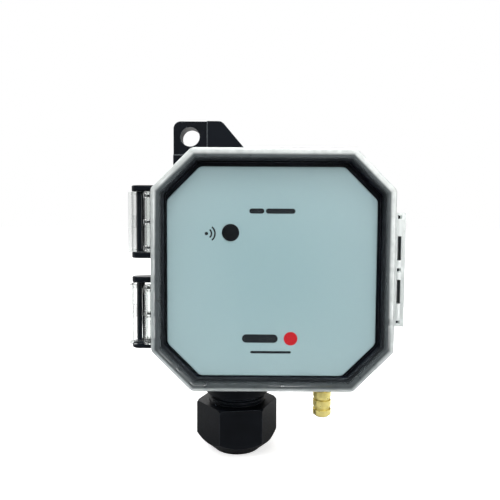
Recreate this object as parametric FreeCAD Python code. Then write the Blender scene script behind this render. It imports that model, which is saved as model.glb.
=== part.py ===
import FreeCAD, Part
import math
import os

# A wall-mounted differential pressure transmitter. X is to the right, Z is up, and the front faces -Y.
# The wall is the plane y = 0, under the centre of the octagonal case. Lengths are in millimetres.

# Case: an octagon seen from the front, a clear lid that closes on the flange of a black base
LID_HALF = 45.0
LID_LEG = 15.0
LID_FRONT = 50.0
LID_DEPTH = 11.2
LID_WALL = 2.1
WINDOW_THICK = 2.2
LID_CORNER = 2.5
LID_CORNER_LEAST = 0.8
LID_CORNER_LOSS = 0.25
LID_EDGE_ROUND = 1.4
SKIRT_CLEAR = 0.4
SKIRT_GAP = 0.2
FLANGE_INSET = 0.4
FLANGE_THICK = 3.0
FLANGE_BEVEL = 1.2
BASE_WALL = 2.0
BASE_FLOOR = 3.0
BASE_BACK_ROUND = 1.5
LEDGE_WIDTH = 1.5
RECESS_DEPTH = 4.3
RIM_CHAMFER = 0.7
GASKET_WIDTH = 1.5
GASKET_HEIGHT = 1.8
GASKET_TOUCH = 0.05
PRY_WIDTH = 6.4
PRY_HEIGHT = 0.9
PRY_X = 6.9

# Inner cover, face plate and button
COVER_THICK = 2.0
COVER_CLEAR = 0.25
PLATE_THICK = 0.8
PLATE_BEVEL = 0.25
PLATE_MARGIN_X = 1.2
PLATE_MARGIN_Z = 1.15
PLATE_SHIFT_X = -0.3
PLATE_SHIFT_Z = -0.85
PLATE_CORNER = 3.0
BUTTON_X = -15.8
BUTTON_Z = 14.0
BUTTON_R = 3.2
BUTTON_CLEAR = 0.1
BUTTON_PROUD = 0.3
BUTTON_FLANGE = 1.1
BUTTON_FLANGE_THICK = 1.0
BUTTON_FLANGE_GAP = 0.3
BUTTON_STEM_R = 1.7
BUTTON_TRAVEL = 0.6

# Mounting ears, both moulded with the base and set out from its sides
EAR_THICK = 10.0
EAR_RECESS = 1.2
EAR_STEP_BEVEL = 0.35
EAR_HOLE_R = 4.2
EAR_CORNER = 3.2
UPPER_EAR_RISE = 19.4
UPPER_EAR_FLAT = 21.3
UPPER_EAR_SPAN = 37.9
UPPER_PAD_WIDTH = 14.7
UPPER_PAD_FOOT = 4.9
EAR_HOLE_SIDE = 7.3
UPPER_HOLE_DROP = 6.7
LOWER_EAR_DROP = 13.9
LOWER_EAR_WIDTH = 14.9
LOWER_HOLE_RISE = 7.0
LOWER_CORNER = 6.5

# Hinge on the right side
HINGE_REACH = 3.3
HINGE_SET_BACK = 1.8
HINGE_BARREL_R = 2.8
HINGE_HALF = 21.8
HINGE_PIN_R = 1.0
HINGE_PIN_FIT = 0.06
HINGE_LUG_Z = (20.2, 0.0, -20.2)
HINGE_LUG_THICK = 1.3
HINGE_LUG_R = 2.1
HINGE_LUG_ROOT = 3.4
HINGE_SIDE_GAP = 0.3
HINGE_SLIT_WIDTH = 1.4
HINGE_SLIT_START = 3.7
HINGE_SLIT_LENGTH = 9.2
HINGE_WEB_THICK = 3.0
HINGE_WEB_REACH = 2.24
HINGE_PEEP_HALF = 0.75

# Latches on the left side: clear latches on the lid close over black bars on the base
LATCH_Z = (17.8, -17.8)
LATCH_REACH = 2.3
LATCH_SET_FORWARD = 1.8
CATCH_REACH = 4.4
CATCH_SET_BACK = 6.6
CATCH_HALF = 14.2
CATCH_PLATE_THICK = 2.4
CATCH_BAR_R = 1.55
CATCH_PLATE_R = 3.4
CATCH_PLATE_ROUND = 0.5
CATCH_ROOT_HALF = 6.0
CATCH_RIB_THICK = 0.8
CATCH_RIB_REACH = 3.5
CATCH_RIB_DEEP = 3.6
LATCH_END_GAP = 0.3
LATCH_BARREL_R = 1.7
LATCH_PIN_R = 0.8
LATCH_PIN_FIT = 0.05
LATCH_PLATE_THICK = 1.2
LATCH_LIP_THICK = 1.15
LATCH_LIP_GAP = 0.55
LATCH_LIP_REACH = 2.6
LATCH_WINDOW_END = 1.2
LATCH_WINDOW_CLEAR = 0.35
LATCH_STRIP = 0.5
LATCH_LUG_THICK = 1.3
LATCH_LUG_PITCH = 10.0
LATCH_LUG_GAP = 0.3
LATCH_LUG_R = 1.5
LATCH_TAB_HALF = 2.6
LATCH_TAB_REACH = 0.9
LATCH_TAB_HEIGHT = 2.0

# Cable gland
GLAND_X = -13.6
GLAND_DEPTH = 21.0
GLAND_PAD_R = 14.2
GLAND_PAD_DROP = 4.1
GLAND_PAD_SINK = 1.0
GLAND_WASHER_THICK = 1.5
GLAND_COLLAR_R = 13.1
GLAND_COLLAR_HEIGHT = 6.0
GLAND_COLLAR_BEVEL = 0.5
GLAND_THREAD_R = 11.85
GLAND_THREAD_PITCH = 1.5
GLAND_THREAD_DEEP = 0.8
GLAND_THREAD_OPEN = 3
GLAND_SHANK_R = 10.0
GLAND_SHANK_FIT = 0.1
GLAND_BORE_R = 7.5
GLAND_SEAT_R = 9.3
GLAND_NUT_AF = 29.7
GLAND_NUT_TURN = 7.5
GLAND_NUT_GAP = 3.4
GLAND_NUT_HEX = 13.9
GLAND_NUT_HEIGHT = 20.2
GLAND_NUT_END_R = 10.6
GLAND_NUT_MOUTH_R = 6.6
GLAND_NUT_MOUTH_WALL = 2.0
GLAND_NUT_FIT = 0.08
GLAND_NUT_BEVEL = 0.8
GLAND_THREAD_LENGTH = 11.9
GLAND_CLAW_LENGTH = 5.0
GLAND_CLAW_R = 10.6
GLAND_CLAW_COUNT = 8
GLAND_CLAW_SLOT = 1.4
GLAND_CONE_GAP = 0.3
GLAND_SEAL_R = 9.0
GLAND_SEAL_BORE_R = 5.25
GLAND_SEAL_SET_BACK = 5.9
GLAND_SEAL_PROUD = 2.4
GLAND_LOCKNUT_AF = 25.0
GLAND_LOCKNUT_TURN = 30.0
GLAND_LOCKNUT_THICK = 3.0
GLAND_LOCKNUT_BEVEL = 1.6
GLAND_SHANK_SPARE = 1.2

# Pressure ports with their hose barbs, placed by their distance from the cavity's right wall and depth
PORT_FROM_WALL = {"high": 17.5, "low": 15.8}
PORT_DEPTH = {"high": 29.0, "low": 17.0}
PORT_REACH = 19.0
PORT_BORE_R = 1.4
PORT_CREST_R = 3.67
PORT_ROOT_R = 3.0
PORT_LIP_R = 3.35
PORT_TIP_R = 3.15
PORT_TIP_BEVEL = 0.5
PORT_BARB_COUNT = 3
PORT_BARB_PITCH = 3.75
PORT_BARB_LAND = 2.1
PORT_BARB_GROOVE = 0.75
PORT_HEX_AF = 10.0
PORT_HEX_THICK = 4.0
PORT_HEX_BEVEL = 0.6
PORT_NECK_R = 2.9
PORT_SHANK_R = 3.3
PORT_NUT_THICK = 2.5
PORT_NUT_TURN = 30.0
PORT_SEAT_RISE = 1.6
PORT_SEAT_MARGIN = 1.2
PORT_NIPPLE_R = 2.0
PORT_NIPPLE_LENGTH = 4.4
HOSE_FIT = 0.05
HOSE_WALL = 1.25
HOSE_BEND_R = 6.0
HOSE_BEND_ANGLE = 45.0
HOSE_NUT_GAP = 0.4

# Circuit board and what stands on it
BOARD_SET_BACK = 10.1
BOARD_THICK = 1.6
BOARD_MARGIN_X = 2.5
BOARD_MARGIN_TOP = 3.0
BOARD_BOTTOM = -16.0
BOARD_LEG = 13.0
POST_R = 3.0
POST_ROOT_R = 3.8
POST_PILOT_R = 1.05
POST_PILOT_DEPTH = 8.0
POST_INSET_UPPER = (6.5, 8.5)
POST_INSET_LOWER = (2.9, 5.0)
SCREW_HEAD_R = 2.3
SCREW_HEAD_THICK = 1.6
SCREW_SHANK_R = 1.05
SCREW_LENGTH = 8.0
SCREW_HOLE_R = 1.4
SENSOR_SHIFT = 0.75
SENSOR_HALF_X = 9.0
SENSOR_HALF_Z = 8.0
SENSOR_DEEP = 14.5
SENSOR_BODY_DEEP = 10.2
SENSOR_NIPPLE_BACK = 8.0
SENSOR_NIPPLE_DX = 4.75
SENSOR_NIPPLE_LENGTH = 5.5
SENSOR_NIPPLE_GAP = 0.5
SENSOR_CAP_STEP = 1.5
SWITCH_HALF = 3.0
SWITCH_HEIGHT = 3.5
PLUNGER_R = 1.75
PLUNGER_PROUD = 1.0
PLUNGER_INSIDE = 1.0
PLUNGER_SPARE = 0.4
PLUNGER_FIT = 0.08
SLIDER_X = 8.0
SLIDER_Z = 21.0
SLIDER_BODY = (8.6, 4.2, 4.4)
SLIDER_KNOB = (2.0, 1.8)
SLIDER_KNOB_PROUD = 1.8
SLIDER_TRAVEL = 2.0
SLIDER_FIT = 0.1
SLIDER_WELL = 2.0
TERMINAL_X = -14.8
TERMINAL_PITCH = 5.08
TERMINAL_WAYS = 3
TERMINAL_HEIGHT = 8.5
TERMINAL_RISE = 2.0
TERMINAL_TALL = 10.0
TERMINAL_BEVEL = 1.2
TERMINAL_ENTRY = 3.2
TERMINAL_ENTRY_DEEP = 7.0
TERMINAL_ENTRY_RISE = 3.4
TERMINAL_SCREW_R = 1.7
TERMINAL_SCREW_DEEP = 3.0
TERMINAL_SCREW_SINK = 1.0
TERMINAL_SCREW_GAP = 0.1
SCREW_SLOT = 0.6
SCREW_SLOT_DEEP = 0.8
RADIO_SIZE = (20.0, 9.0)
RADIO_INSET = (16.5, 1.5)
RADIO_CARRIER = 0.8
RADIO_CAN = 2.0
RADIO_CAN_LENGTH = 13.6
RADIO_CAN_INSET = 0.4
CAN_INSETS = (12.5, 4.5)
CAN_Z = 8.0
CAN_R = 3.15
CAN_HEIGHT = 7.2
CAN_ROUND = 0.8

# Sizes that follow from the ones above
LEG_PER_OFFSET = 2.0 - math.sqrt(2.0)
HEX_CORNER = 1.0 / math.sqrt(3.0)
INNER_HALF = LID_HALF - LID_WALL
BASE_HALF = INNER_HALF - SKIRT_CLEAR
RECESS_HALF = BASE_HALF - BASE_WALL
CAVITY_HALF = RECESS_HALF - LEDGE_WIDTH
SKIRT_BACK = LID_FRONT - LID_DEPTH
WINDOW_BACK = LID_FRONT - WINDOW_THICK
RIM_DEPTH = WINDOW_BACK - GASKET_HEIGHT
LEDGE_DEPTH = RIM_DEPTH - RECESS_DEPTH
FLANGE_FRONT = SKIRT_BACK - SKIRT_GAP
FLANGE_BACK = FLANGE_FRONT - FLANGE_THICK
FLANGE_HALF = LID_HALF - FLANGE_INSET
COVER_FRONT = LEDGE_DEPTH + COVER_THICK
PLATE_FRONT = COVER_FRONT + PLATE_THICK
PLATE_HALF_X = RECESS_HALF - PLATE_MARGIN_X
PLATE_HALF_Z = RECESS_HALF - PLATE_MARGIN_Z
PLATE_LEG = LID_LEG - LEG_PER_OFFSET * (LID_HALF - RECESS_HALF)
UPPER_EAR_TOP = BASE_HALF + UPPER_EAR_RISE
UPPER_HOLE = (EAR_HOLE_SIDE - BASE_HALF, UPPER_EAR_TOP - UPPER_HOLE_DROP)
LOWER_EAR_BOTTOM = -BASE_HALF - LOWER_EAR_DROP
LOWER_HOLE = (BASE_HALF - EAR_HOLE_SIDE, LOWER_EAR_BOTTOM + LOWER_HOLE_RISE)
HINGE_X = LID_HALF + HINGE_REACH
HINGE_DEPTH = SKIRT_BACK - HINGE_SET_BACK
LATCH_X = -LID_HALF - LATCH_REACH
LATCH_DEPTH = SKIRT_BACK + LATCH_SET_FORWARD
CATCH_X = LATCH_X - CATCH_REACH
CATCH_DEPTH = LATCH_DEPTH - CATCH_SET_BACK
LATCH_LIP_END = CATCH_DEPTH - LATCH_LIP_REACH
CATCH_INNER_HALF = CATCH_HALF - CATCH_PLATE_THICK
LATCH_HALF = CATCH_INNER_HALF - LATCH_END_GAP
LATCH_WINDOW_HALF = LATCH_HALF - LATCH_WINDOW_END
LIP_INNER_X = CATCH_X - CATCH_BAR_R - LATCH_LIP_GAP
GLAND_PAD_Z = -BASE_HALF - GLAND_PAD_DROP
GLAND_COLLAR_TOP = GLAND_PAD_Z - GLAND_WASHER_THICK
GLAND_COLLAR_END = GLAND_COLLAR_TOP - GLAND_COLLAR_HEIGHT
GLAND_NUT_TOP = GLAND_COLLAR_END - GLAND_NUT_GAP
GLAND_THREAD_END = GLAND_COLLAR_END - GLAND_THREAD_LENGTH
GLAND_CLAW_END = GLAND_THREAD_END - GLAND_CLAW_LENGTH
GLAND_SEAL_TOP = GLAND_COLLAR_END - GLAND_SEAL_SET_BACK
GLAND_SEAL_END = GLAND_CLAW_END - GLAND_SEAL_PROUD
PORTS = {side: (CAVITY_HALF - PORT_FROM_WALL[side], PORT_DEPTH[side]) for side in PORT_DEPTH}
PORT_TIP = BASE_HALF + PORT_REACH
PORT_SEAT_Z = -CAVITY_HALF + PORT_SEAT_RISE
PORT_NUT_TOP = PORT_SEAT_Z + PORT_NUT_THICK
PORT_NIPPLE_TOP = PORT_NUT_TOP + PORT_NIPPLE_LENGTH
BOARD_FRONT = LEDGE_DEPTH - BOARD_SET_BACK
BOARD_BACK = BOARD_FRONT - BOARD_THICK
BOARD_HALF = CAVITY_HALF - BOARD_MARGIN_X
BOARD_TOP = CAVITY_HALF - BOARD_MARGIN_TOP
POST_X_UPPER = BOARD_HALF - POST_INSET_UPPER[0]
POST_X_LOWER = BOARD_HALF - POST_INSET_LOWER[0]
POST_Z_UPPER = BOARD_TOP - POST_INSET_UPPER[1]
POST_Z_LOWER = BOARD_BOTTOM + POST_INSET_LOWER[1]
POSTS = ((-POST_X_UPPER, POST_Z_UPPER), (POST_X_UPPER, POST_Z_UPPER),
         (-POST_X_LOWER, POST_Z_LOWER), (POST_X_LOWER, POST_Z_LOWER))
SENSOR_X = PORTS["high"][0] + SENSOR_SHIFT
SENSOR_NIPPLE_DEPTH = BOARD_BACK - SENSOR_NIPPLE_BACK
SENSOR_SIDE = {"high": -1.0, "low": 1.0}
TERMINAL_BOTTOM = BOARD_BOTTOM + TERMINAL_RISE
TERMINAL_TOP = TERMINAL_BOTTOM + TERMINAL_TALL
RADIO_RIGHT = BOARD_HALF - RADIO_INSET[0]
RADIO_TOP = BOARD_TOP - RADIO_INSET[1]
CAN_XS = tuple(BOARD_HALF - inset for inset in CAN_INSETS)


def box(x0, x1, y0, y1, z0, z1):
    """A block between two corners."""
    low = FreeCAD.Vector(min(x0, x1), min(y0, y1), min(z0, z1))
    return Part.makeBox(abs(x1 - x0), abs(y1 - y0), abs(z1 - z0), low)


def rod_y(x, z, radius, y0, y1):
    """A round bar along Y."""
    start = FreeCAD.Vector(x, min(y0, y1), z)
    return Part.makeCylinder(radius, abs(y1 - y0), start, FreeCAD.Vector(0, 1, 0))


def rod_z(x, y, radius, z0, z1):
    """A round bar along Z."""
    start = FreeCAD.Vector(x, y, min(z0, z1))
    return Part.makeCylinder(radius, abs(z1 - z0), start, FreeCAD.Vector(0, 0, 1))


def prism_y(outline, y0, y1):
    """A prism along Y over an outline of (x, z) points."""
    low = min(y0, y1)
    points = [FreeCAD.Vector(x, low, z) for x, z in outline]
    points.append(points[0])
    face = Part.Face(Part.makePolygon(points))
    return face.extrude(FreeCAD.Vector(0, abs(y1 - y0), 0))


def edges_along(solid, axis):
    """The straight edges of a solid that run along one axis."""
    found = []
    for edge in solid.Edges:
        if len(edge.Vertexes) != 2:
            continue
        run = edge.Vertexes[1].Point - edge.Vertexes[0].Point
        if run.Length > 0 and abs(abs(run.normalize().dot(axis)) - 1.0) < 1e-6:
            found.append(edge)
    return found


def edges_in_plane(solid, y):
    """The edges of a solid that lie in the plane at depth y."""
    found = []
    for edge in solid.Edges:
        box_of_edge = edge.BoundBox
        if abs(box_of_edge.YMin - y) < 1e-5 and abs(box_of_edge.YMax - y) < 1e-5:
            found.append(edge)
    return found


def octagon(half_x, half_z, leg, corner, y0, y1, shift=(0.0, 0.0)):
    """An octagonal block: a rectangle with its four corners cut off, each new corner rounded."""
    right = half_x - leg
    top = half_z - leg
    outline = [(-right, half_z), (right, half_z), (half_x, top), (half_x, -top),
               (right, -half_z), (-right, -half_z), (-half_x, -top), (-half_x, top)]
    block = prism_y([(x + shift[0], z + shift[1]) for x, z in outline], y0, y1)
    if corner > 0:
        block = block.makeFillet(corner, edges_along(block, FreeCAD.Vector(0, 1, 0)))
    return block


def case_octagon(half, y0, y1):
    """The case's octagon, offset inwards from the lid's outer face so that its walls stay even."""
    inwards = LID_HALF - half
    leg = LID_LEG - LEG_PER_OFFSET * inwards
    corner = max(LID_CORNER - inwards * LID_CORNER_LOSS, LID_CORNER_LEAST)
    return octagon(half, half, leg, corner, y0, y1)


def hexagon_z(x, y, across_flats, turn, z0, z1):
    """A hexagonal block along Z. At turn 0 a flat faces the front."""
    radius = across_flats * HEX_CORNER
    low = min(z0, z1)
    points = []
    for corner in range(7):
        angle = math.radians(60.0 * corner + turn)
        points.append(FreeCAD.Vector(x + radius * math.cos(angle), y + radius * math.sin(angle), low))
    face = Part.Face(Part.makePolygon(points))
    return face.extrude(FreeCAD.Vector(0, 0, abs(z1 - z0)))


def turned(profile, x, y):
    """A body of revolution about a vertical axis, from (radius, z) points."""
    points = [FreeCAD.Vector(x + radius, y, z) for radius, z in profile]
    points.append(points[0])
    face = Part.Face(Part.makePolygon(points))
    return face.revolve(FreeCAD.Vector(x, y, 0), FreeCAD.Vector(0, 0, 1), 360.0)


def bevelled_hexagon(x, y, across_flats, turn, z0, z1, bevel_low, bevel_high):
    """A hexagon whose corners are turned off by a cone at either end, where a bevel is given."""
    radius = across_flats * HEX_CORNER
    low = min(z0, z1)
    high = max(z0, z1)
    lost = radius - across_flats / 2.0
    profile = [(0.0, low), (radius - bevel_low, low)]
    if bevel_low > 0:
        profile.append((radius, low + lost))
    if bevel_high > 0:
        profile.append((radius, high - lost))
    profile.append((radius - bevel_high, high))
    profile.append((0.0, high))
    return hexagon_z(x, y, across_flats, turn, z0, z1).common(turned(profile, x, y))


def ear_blank(outline, rounded):
    """A mounting ear's plate, with the given upright corners rounded."""
    blank = prism_y(outline, -EAR_THICK, 0.0)
    for (x, z), radius in rounded:
        for edge in edges_along(blank, FreeCAD.Vector(0, 1, 0)):
            point = edge.Vertexes[0].Point
            if abs(point.x - x) < 1e-6 and abs(point.z - z) < 1e-6:
                blank = blank.makeFillet(radius, [edge])
                break
    return blank


def upper_ear():
    """The ear at the upper left, in line with the case's left side, with a stepped-back pad."""
    left = -BASE_HALF
    root = BASE_HALF - LID_LEG
    flat_end = left + UPPER_EAR_FLAT
    foot = left + UPPER_EAR_SPAN
    outline = [(left, root - LID_LEG), (left, UPPER_EAR_TOP), (flat_end, UPPER_EAR_TOP),
               (foot, BASE_HALF), (foot, root), (-root, root - LID_LEG)]
    rounded = [((left, UPPER_EAR_TOP), EAR_CORNER), ((flat_end, UPPER_EAR_TOP), EAR_CORNER)]
    ear = ear_blank(outline, rounded)
    right = left + UPPER_PAD_WIDTH
    bottom = BASE_HALF + UPPER_PAD_FOOT
    for spread, deep in ((0.0, EAR_RECESS), (EAR_STEP_BEVEL, EAR_STEP_BEVEL)):
        pad = box(left, right + spread, -EAR_THICK, deep - EAR_THICK, bottom - spread, UPPER_EAR_TOP)
        edge = [e for e in edges_along(pad, FreeCAD.Vector(0, 1, 0))
                if e.Vertexes[0].Point.x > right - 1e-6 and e.Vertexes[0].Point.z < bottom + 1e-6]
        ear = ear.cut(pad.makeFillet(EAR_CORNER + spread, edge))
    hole = rod_y(UPPER_HOLE[0], UPPER_HOLE[1], EAR_HOLE_R, -EAR_THICK, 0.0)
    return ear.cut(hole)


def lower_ear():
    """The ear at the lower right, behind the lid's cut-off corner."""
    right = BASE_HALF
    left = BASE_HALF - LOWER_EAR_WIDTH
    root = BASE_HALF - LID_LEG
    outline = [(right, LID_LEG - root), (right, LOWER_EAR_BOTTOM), (left, LOWER_EAR_BOTTOM),
               (left, -root), (root, LID_LEG - root)]
    rounded = [((right, LOWER_EAR_BOTTOM), LOWER_CORNER), ((left, LOWER_EAR_BOTTOM), EAR_CORNER)]
    ear = ear_blank(outline, rounded)
    hole = rod_y(LOWER_HOLE[0], LOWER_HOLE[1], EAR_HOLE_R, -EAR_THICK, 0.0)
    return ear.cut(hole)


def free_edges(plate):
    """The edges of a catch plate's two flat sides, apart from those where it joins the case."""
    found = []
    for edge in plate.Edges:
        limits = edge.BoundBox
        if limits.ZLength < 1e-6 and limits.XMin < -FLANGE_HALF:
            found.append(edge)
    return found


def catch(centre):
    """Two plates and the round bar that one latch closes over, and the ribs behind the lid's lugs."""
    shape = rod_z(CATCH_X, -CATCH_DEPTH, CATCH_BAR_R, centre - CATCH_HALF, centre + CATCH_HALF)
    for side in (-1.0, 1.0):
        outer = centre + side * CATCH_HALF
        inner = centre + side * CATCH_INNER_HALF
        disc = rod_z(CATCH_X, -CATCH_DEPTH, CATCH_PLATE_R, inner, outer)
        low = min(inner, outer)
        corners = [(CATCH_X, -CATCH_DEPTH - CATCH_PLATE_R), (CATCH_X, -CATCH_DEPTH + CATCH_PLATE_R),
                   (-RECESS_HALF, -CATCH_DEPTH + CATCH_PLATE_R + CATCH_ROOT_HALF),
                   (-RECESS_HALF, -CATCH_DEPTH - CATCH_PLATE_R)]
        points = [FreeCAD.Vector(x, y, low) for x, y in corners]
        points.append(points[0])
        arm = Part.Face(Part.makePolygon(points)).extrude(FreeCAD.Vector(0, 0, CATCH_PLATE_THICK))
        plate = disc.fuse(arm).removeSplitter()
        shape = shape.fuse(plate.makeFillet(CATCH_PLATE_ROUND, free_edges(plate)))
    ribs = []
    for step in (-1, 0, 1):
        z = centre + step * LATCH_LUG_PITCH
        ribs.append(box(-FLANGE_HALF - CATCH_RIB_REACH, -BASE_HALF, -FLANGE_FRONT,
                        CATCH_RIB_DEEP - FLANGE_FRONT, z - CATCH_RIB_THICK / 2.0, z + CATCH_RIB_THICK / 2.0))
    return shape, ribs


def hinge_lug(z):
    """One thin lug of the base that holds the hinge pin."""
    low = z - HINGE_LUG_THICK / 2.0
    disc = rod_z(HINGE_X, -HINGE_DEPTH, HINGE_LUG_R, low, low + HINGE_LUG_THICK)
    corners = [(HINGE_X, -HINGE_DEPTH - HINGE_LUG_R), (HINGE_X, -HINGE_DEPTH + HINGE_LUG_R),
               (RECESS_HALF, -HINGE_DEPTH + HINGE_LUG_R + HINGE_LUG_ROOT),
               (RECESS_HALF, -HINGE_DEPTH - HINGE_LUG_R)]
    points = [FreeCAD.Vector(x, y, low) for x, y in corners]
    points.append(points[0])
    arm = Part.Face(Part.makePolygon(points)).extrude(FreeCAD.Vector(0, 0, HINGE_LUG_THICK))
    hole = rod_z(HINGE_X, -HINGE_DEPTH, HINGE_PIN_R, low, low + HINGE_LUG_THICK)
    return disc.fuse(arm).cut(hole)


def board_post(x, z):
    """A tapered post that carries a corner of the circuit board, with a blind screw hole."""
    start = FreeCAD.Vector(x, -BASE_FLOOR / 2.0, z)
    post = Part.makeCone(POST_ROOT_R, POST_R, BOARD_BACK - BASE_FLOOR / 2.0, start, FreeCAD.Vector(0, -1, 0))
    return post.cut(rod_y(x, z, POST_PILOT_R, -BOARD_BACK, POST_PILOT_DEPTH - BOARD_BACK))


def flange():
    """The black collar round the base on which the lid's skirt closes, bevelled behind."""
    collar = case_octagon(FLANGE_HALF, -FLANGE_FRONT, -FLANGE_BACK)
    return collar.makeChamfer(FLANGE_BEVEL, edges_in_plane(collar, -FLANGE_BACK))


def port_seat():
    """The raised flat inside the bottom wall on which the port nuts seat."""
    reach = PORT_HEX_AF / 2.0 + PORT_SEAT_MARGIN
    xs = [x for x, depth in PORTS.values()]
    depths = [depth for x, depth in PORTS.values()]
    return box(min(xs) - reach, max(xs) + reach, -max(depths) - reach, -min(depths) + reach,
               -CAVITY_HALF - LEDGE_WIDTH, PORT_SEAT_Z)


def make_base():
    shell = case_octagon(BASE_HALF, -RIM_DEPTH, 0.0)
    shell = shell.makeFillet(BASE_BACK_ROUND, edges_in_plane(shell, 0.0))
    shell = shell.makeChamfer(RIM_CHAMFER, edges_in_plane(shell, -RIM_DEPTH))
    pad = rod_z(GLAND_X, -GLAND_DEPTH, GLAND_PAD_R, -CAVITY_HALF - GLAND_PAD_SINK, GLAND_PAD_Z)
    shell = shell.fuse([flange(), upper_ear(), lower_ear(), pad])
    for centre in LATCH_Z:
        bar, ribs = catch(centre)
        shell = shell.fuse([bar] + ribs)
    shell = shell.fuse([hinge_lug(z) for z in HINGE_LUG_Z])
    shell = shell.cut(case_octagon(CAVITY_HALF, -LEDGE_DEPTH, -BASE_FLOOR))
    shell = shell.cut(case_octagon(RECESS_HALF, -RIM_DEPTH, -LEDGE_DEPTH))
    shank_hole = GLAND_SHANK_R + GLAND_SHANK_FIT
    shell = shell.cut(rod_z(GLAND_X, -GLAND_DEPTH, shank_hole, -CAVITY_HALF, GLAND_PAD_Z))
    shell = shell.fuse(port_seat())
    for x, depth in PORTS.values():
        shell = shell.cut(rod_z(x, -depth, PORT_SHANK_R + GLAND_SHANK_FIT, PORT_SEAT_Z, -BASE_HALF))
    shell = shell.fuse([board_post(x, z) for x, z in POSTS])
    return shell.removeSplitter()


def make_lid():
    lid = case_octagon(LID_HALF, -LID_FRONT, -SKIRT_BACK)
    lid = lid.makeFillet(LID_EDGE_ROUND, edges_in_plane(lid, -LID_FRONT))
    lid = lid.cut(case_octagon(INNER_HALF, -WINDOW_BACK, -SKIRT_BACK))
    lid = lid.cut(box(PRY_X - PRY_WIDTH / 2.0, PRY_X + PRY_WIDTH / 2.0, -SKIRT_BACK - PRY_HEIGHT,
                      -SKIRT_BACK, -LID_HALF, -BASE_HALF))
    barrel = rod_z(HINGE_X, -HINGE_DEPTH, HINGE_BARREL_R, -HINGE_HALF, HINGE_HALF)
    web = box(LID_HALF - LID_WALL / 2.0, HINGE_X + HINGE_WEB_REACH, -SKIRT_BACK - HINGE_WEB_THICK,
              -SKIRT_BACK, -HINGE_HALF, HINGE_HALF)
    lid = lid.fuse([barrel, web])
    bore = rod_z(HINGE_X, -HINGE_DEPTH, HINGE_PIN_R + HINGE_PIN_FIT, -HINGE_HALF, HINGE_HALF)
    lid = lid.cut(bore)
    gap = HINGE_LUG_THICK / 2.0 + HINGE_SIDE_GAP
    for z in HINGE_LUG_Z:
        lid = lid.cut(box(RECESS_HALF, HINGE_X + HINGE_BARREL_R, -HINGE_DEPTH - HINGE_LUG_R - HINGE_SIDE_GAP,
                          -HINGE_DEPTH + HINGE_BARREL_R, z - gap, z + gap))
        lid = lid.cut(box(HINGE_X - HINGE_PEEP_HALF, HINGE_X + HINGE_PEEP_HALF, -SKIRT_BACK - HINGE_WEB_THICK,
                          -HINGE_DEPTH, z - HINGE_PEEP_HALF, z + HINGE_PEEP_HALF))
    for side in (-1.0, 1.0):
        start = side * HINGE_SLIT_START
        lid = lid.cut(box(HINGE_X - HINGE_SLIT_WIDTH / 2.0, HINGE_X + HINGE_SLIT_WIDTH / 2.0,
                          -SKIRT_BACK - HINGE_WEB_THICK, -HINGE_DEPTH, start, start + side * HINGE_SLIT_LENGTH))
    for centre in LATCH_Z:
        for step in (-1, 0, 1):
            z = centre + step * LATCH_LUG_PITCH
            low = z - LATCH_LUG_THICK / 2.0
            disc = rod_z(LATCH_X, -LATCH_DEPTH, LATCH_LUG_R, low, low + LATCH_LUG_THICK)
            arm = box(LATCH_X, -LID_HALF + LID_WALL / 2.0, -LATCH_DEPTH - LATCH_LUG_R,
                      -LATCH_DEPTH + LATCH_LUG_R, low, low + LATCH_LUG_THICK)
            lid = lid.fuse([disc, arm])
        lid = lid.cut(rod_z(LATCH_X, -LATCH_DEPTH, LATCH_PIN_R, centre - LATCH_HALF, centre + LATCH_HALF))
    return lid.removeSplitter()


def make_gasket():
    outer = case_octagon(BASE_HALF - RIM_CHAMFER, -WINDOW_BACK + GASKET_TOUCH, -RIM_DEPTH)
    inner = case_octagon(BASE_HALF - RIM_CHAMFER - GASKET_WIDTH, -WINDOW_BACK + GASKET_TOUCH, -RIM_DEPTH)
    return outer.cut(inner)


def make_hinge_pin():
    return rod_z(HINGE_X, -HINGE_DEPTH, HINGE_PIN_R, -HINGE_HALF, HINGE_HALF)


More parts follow.
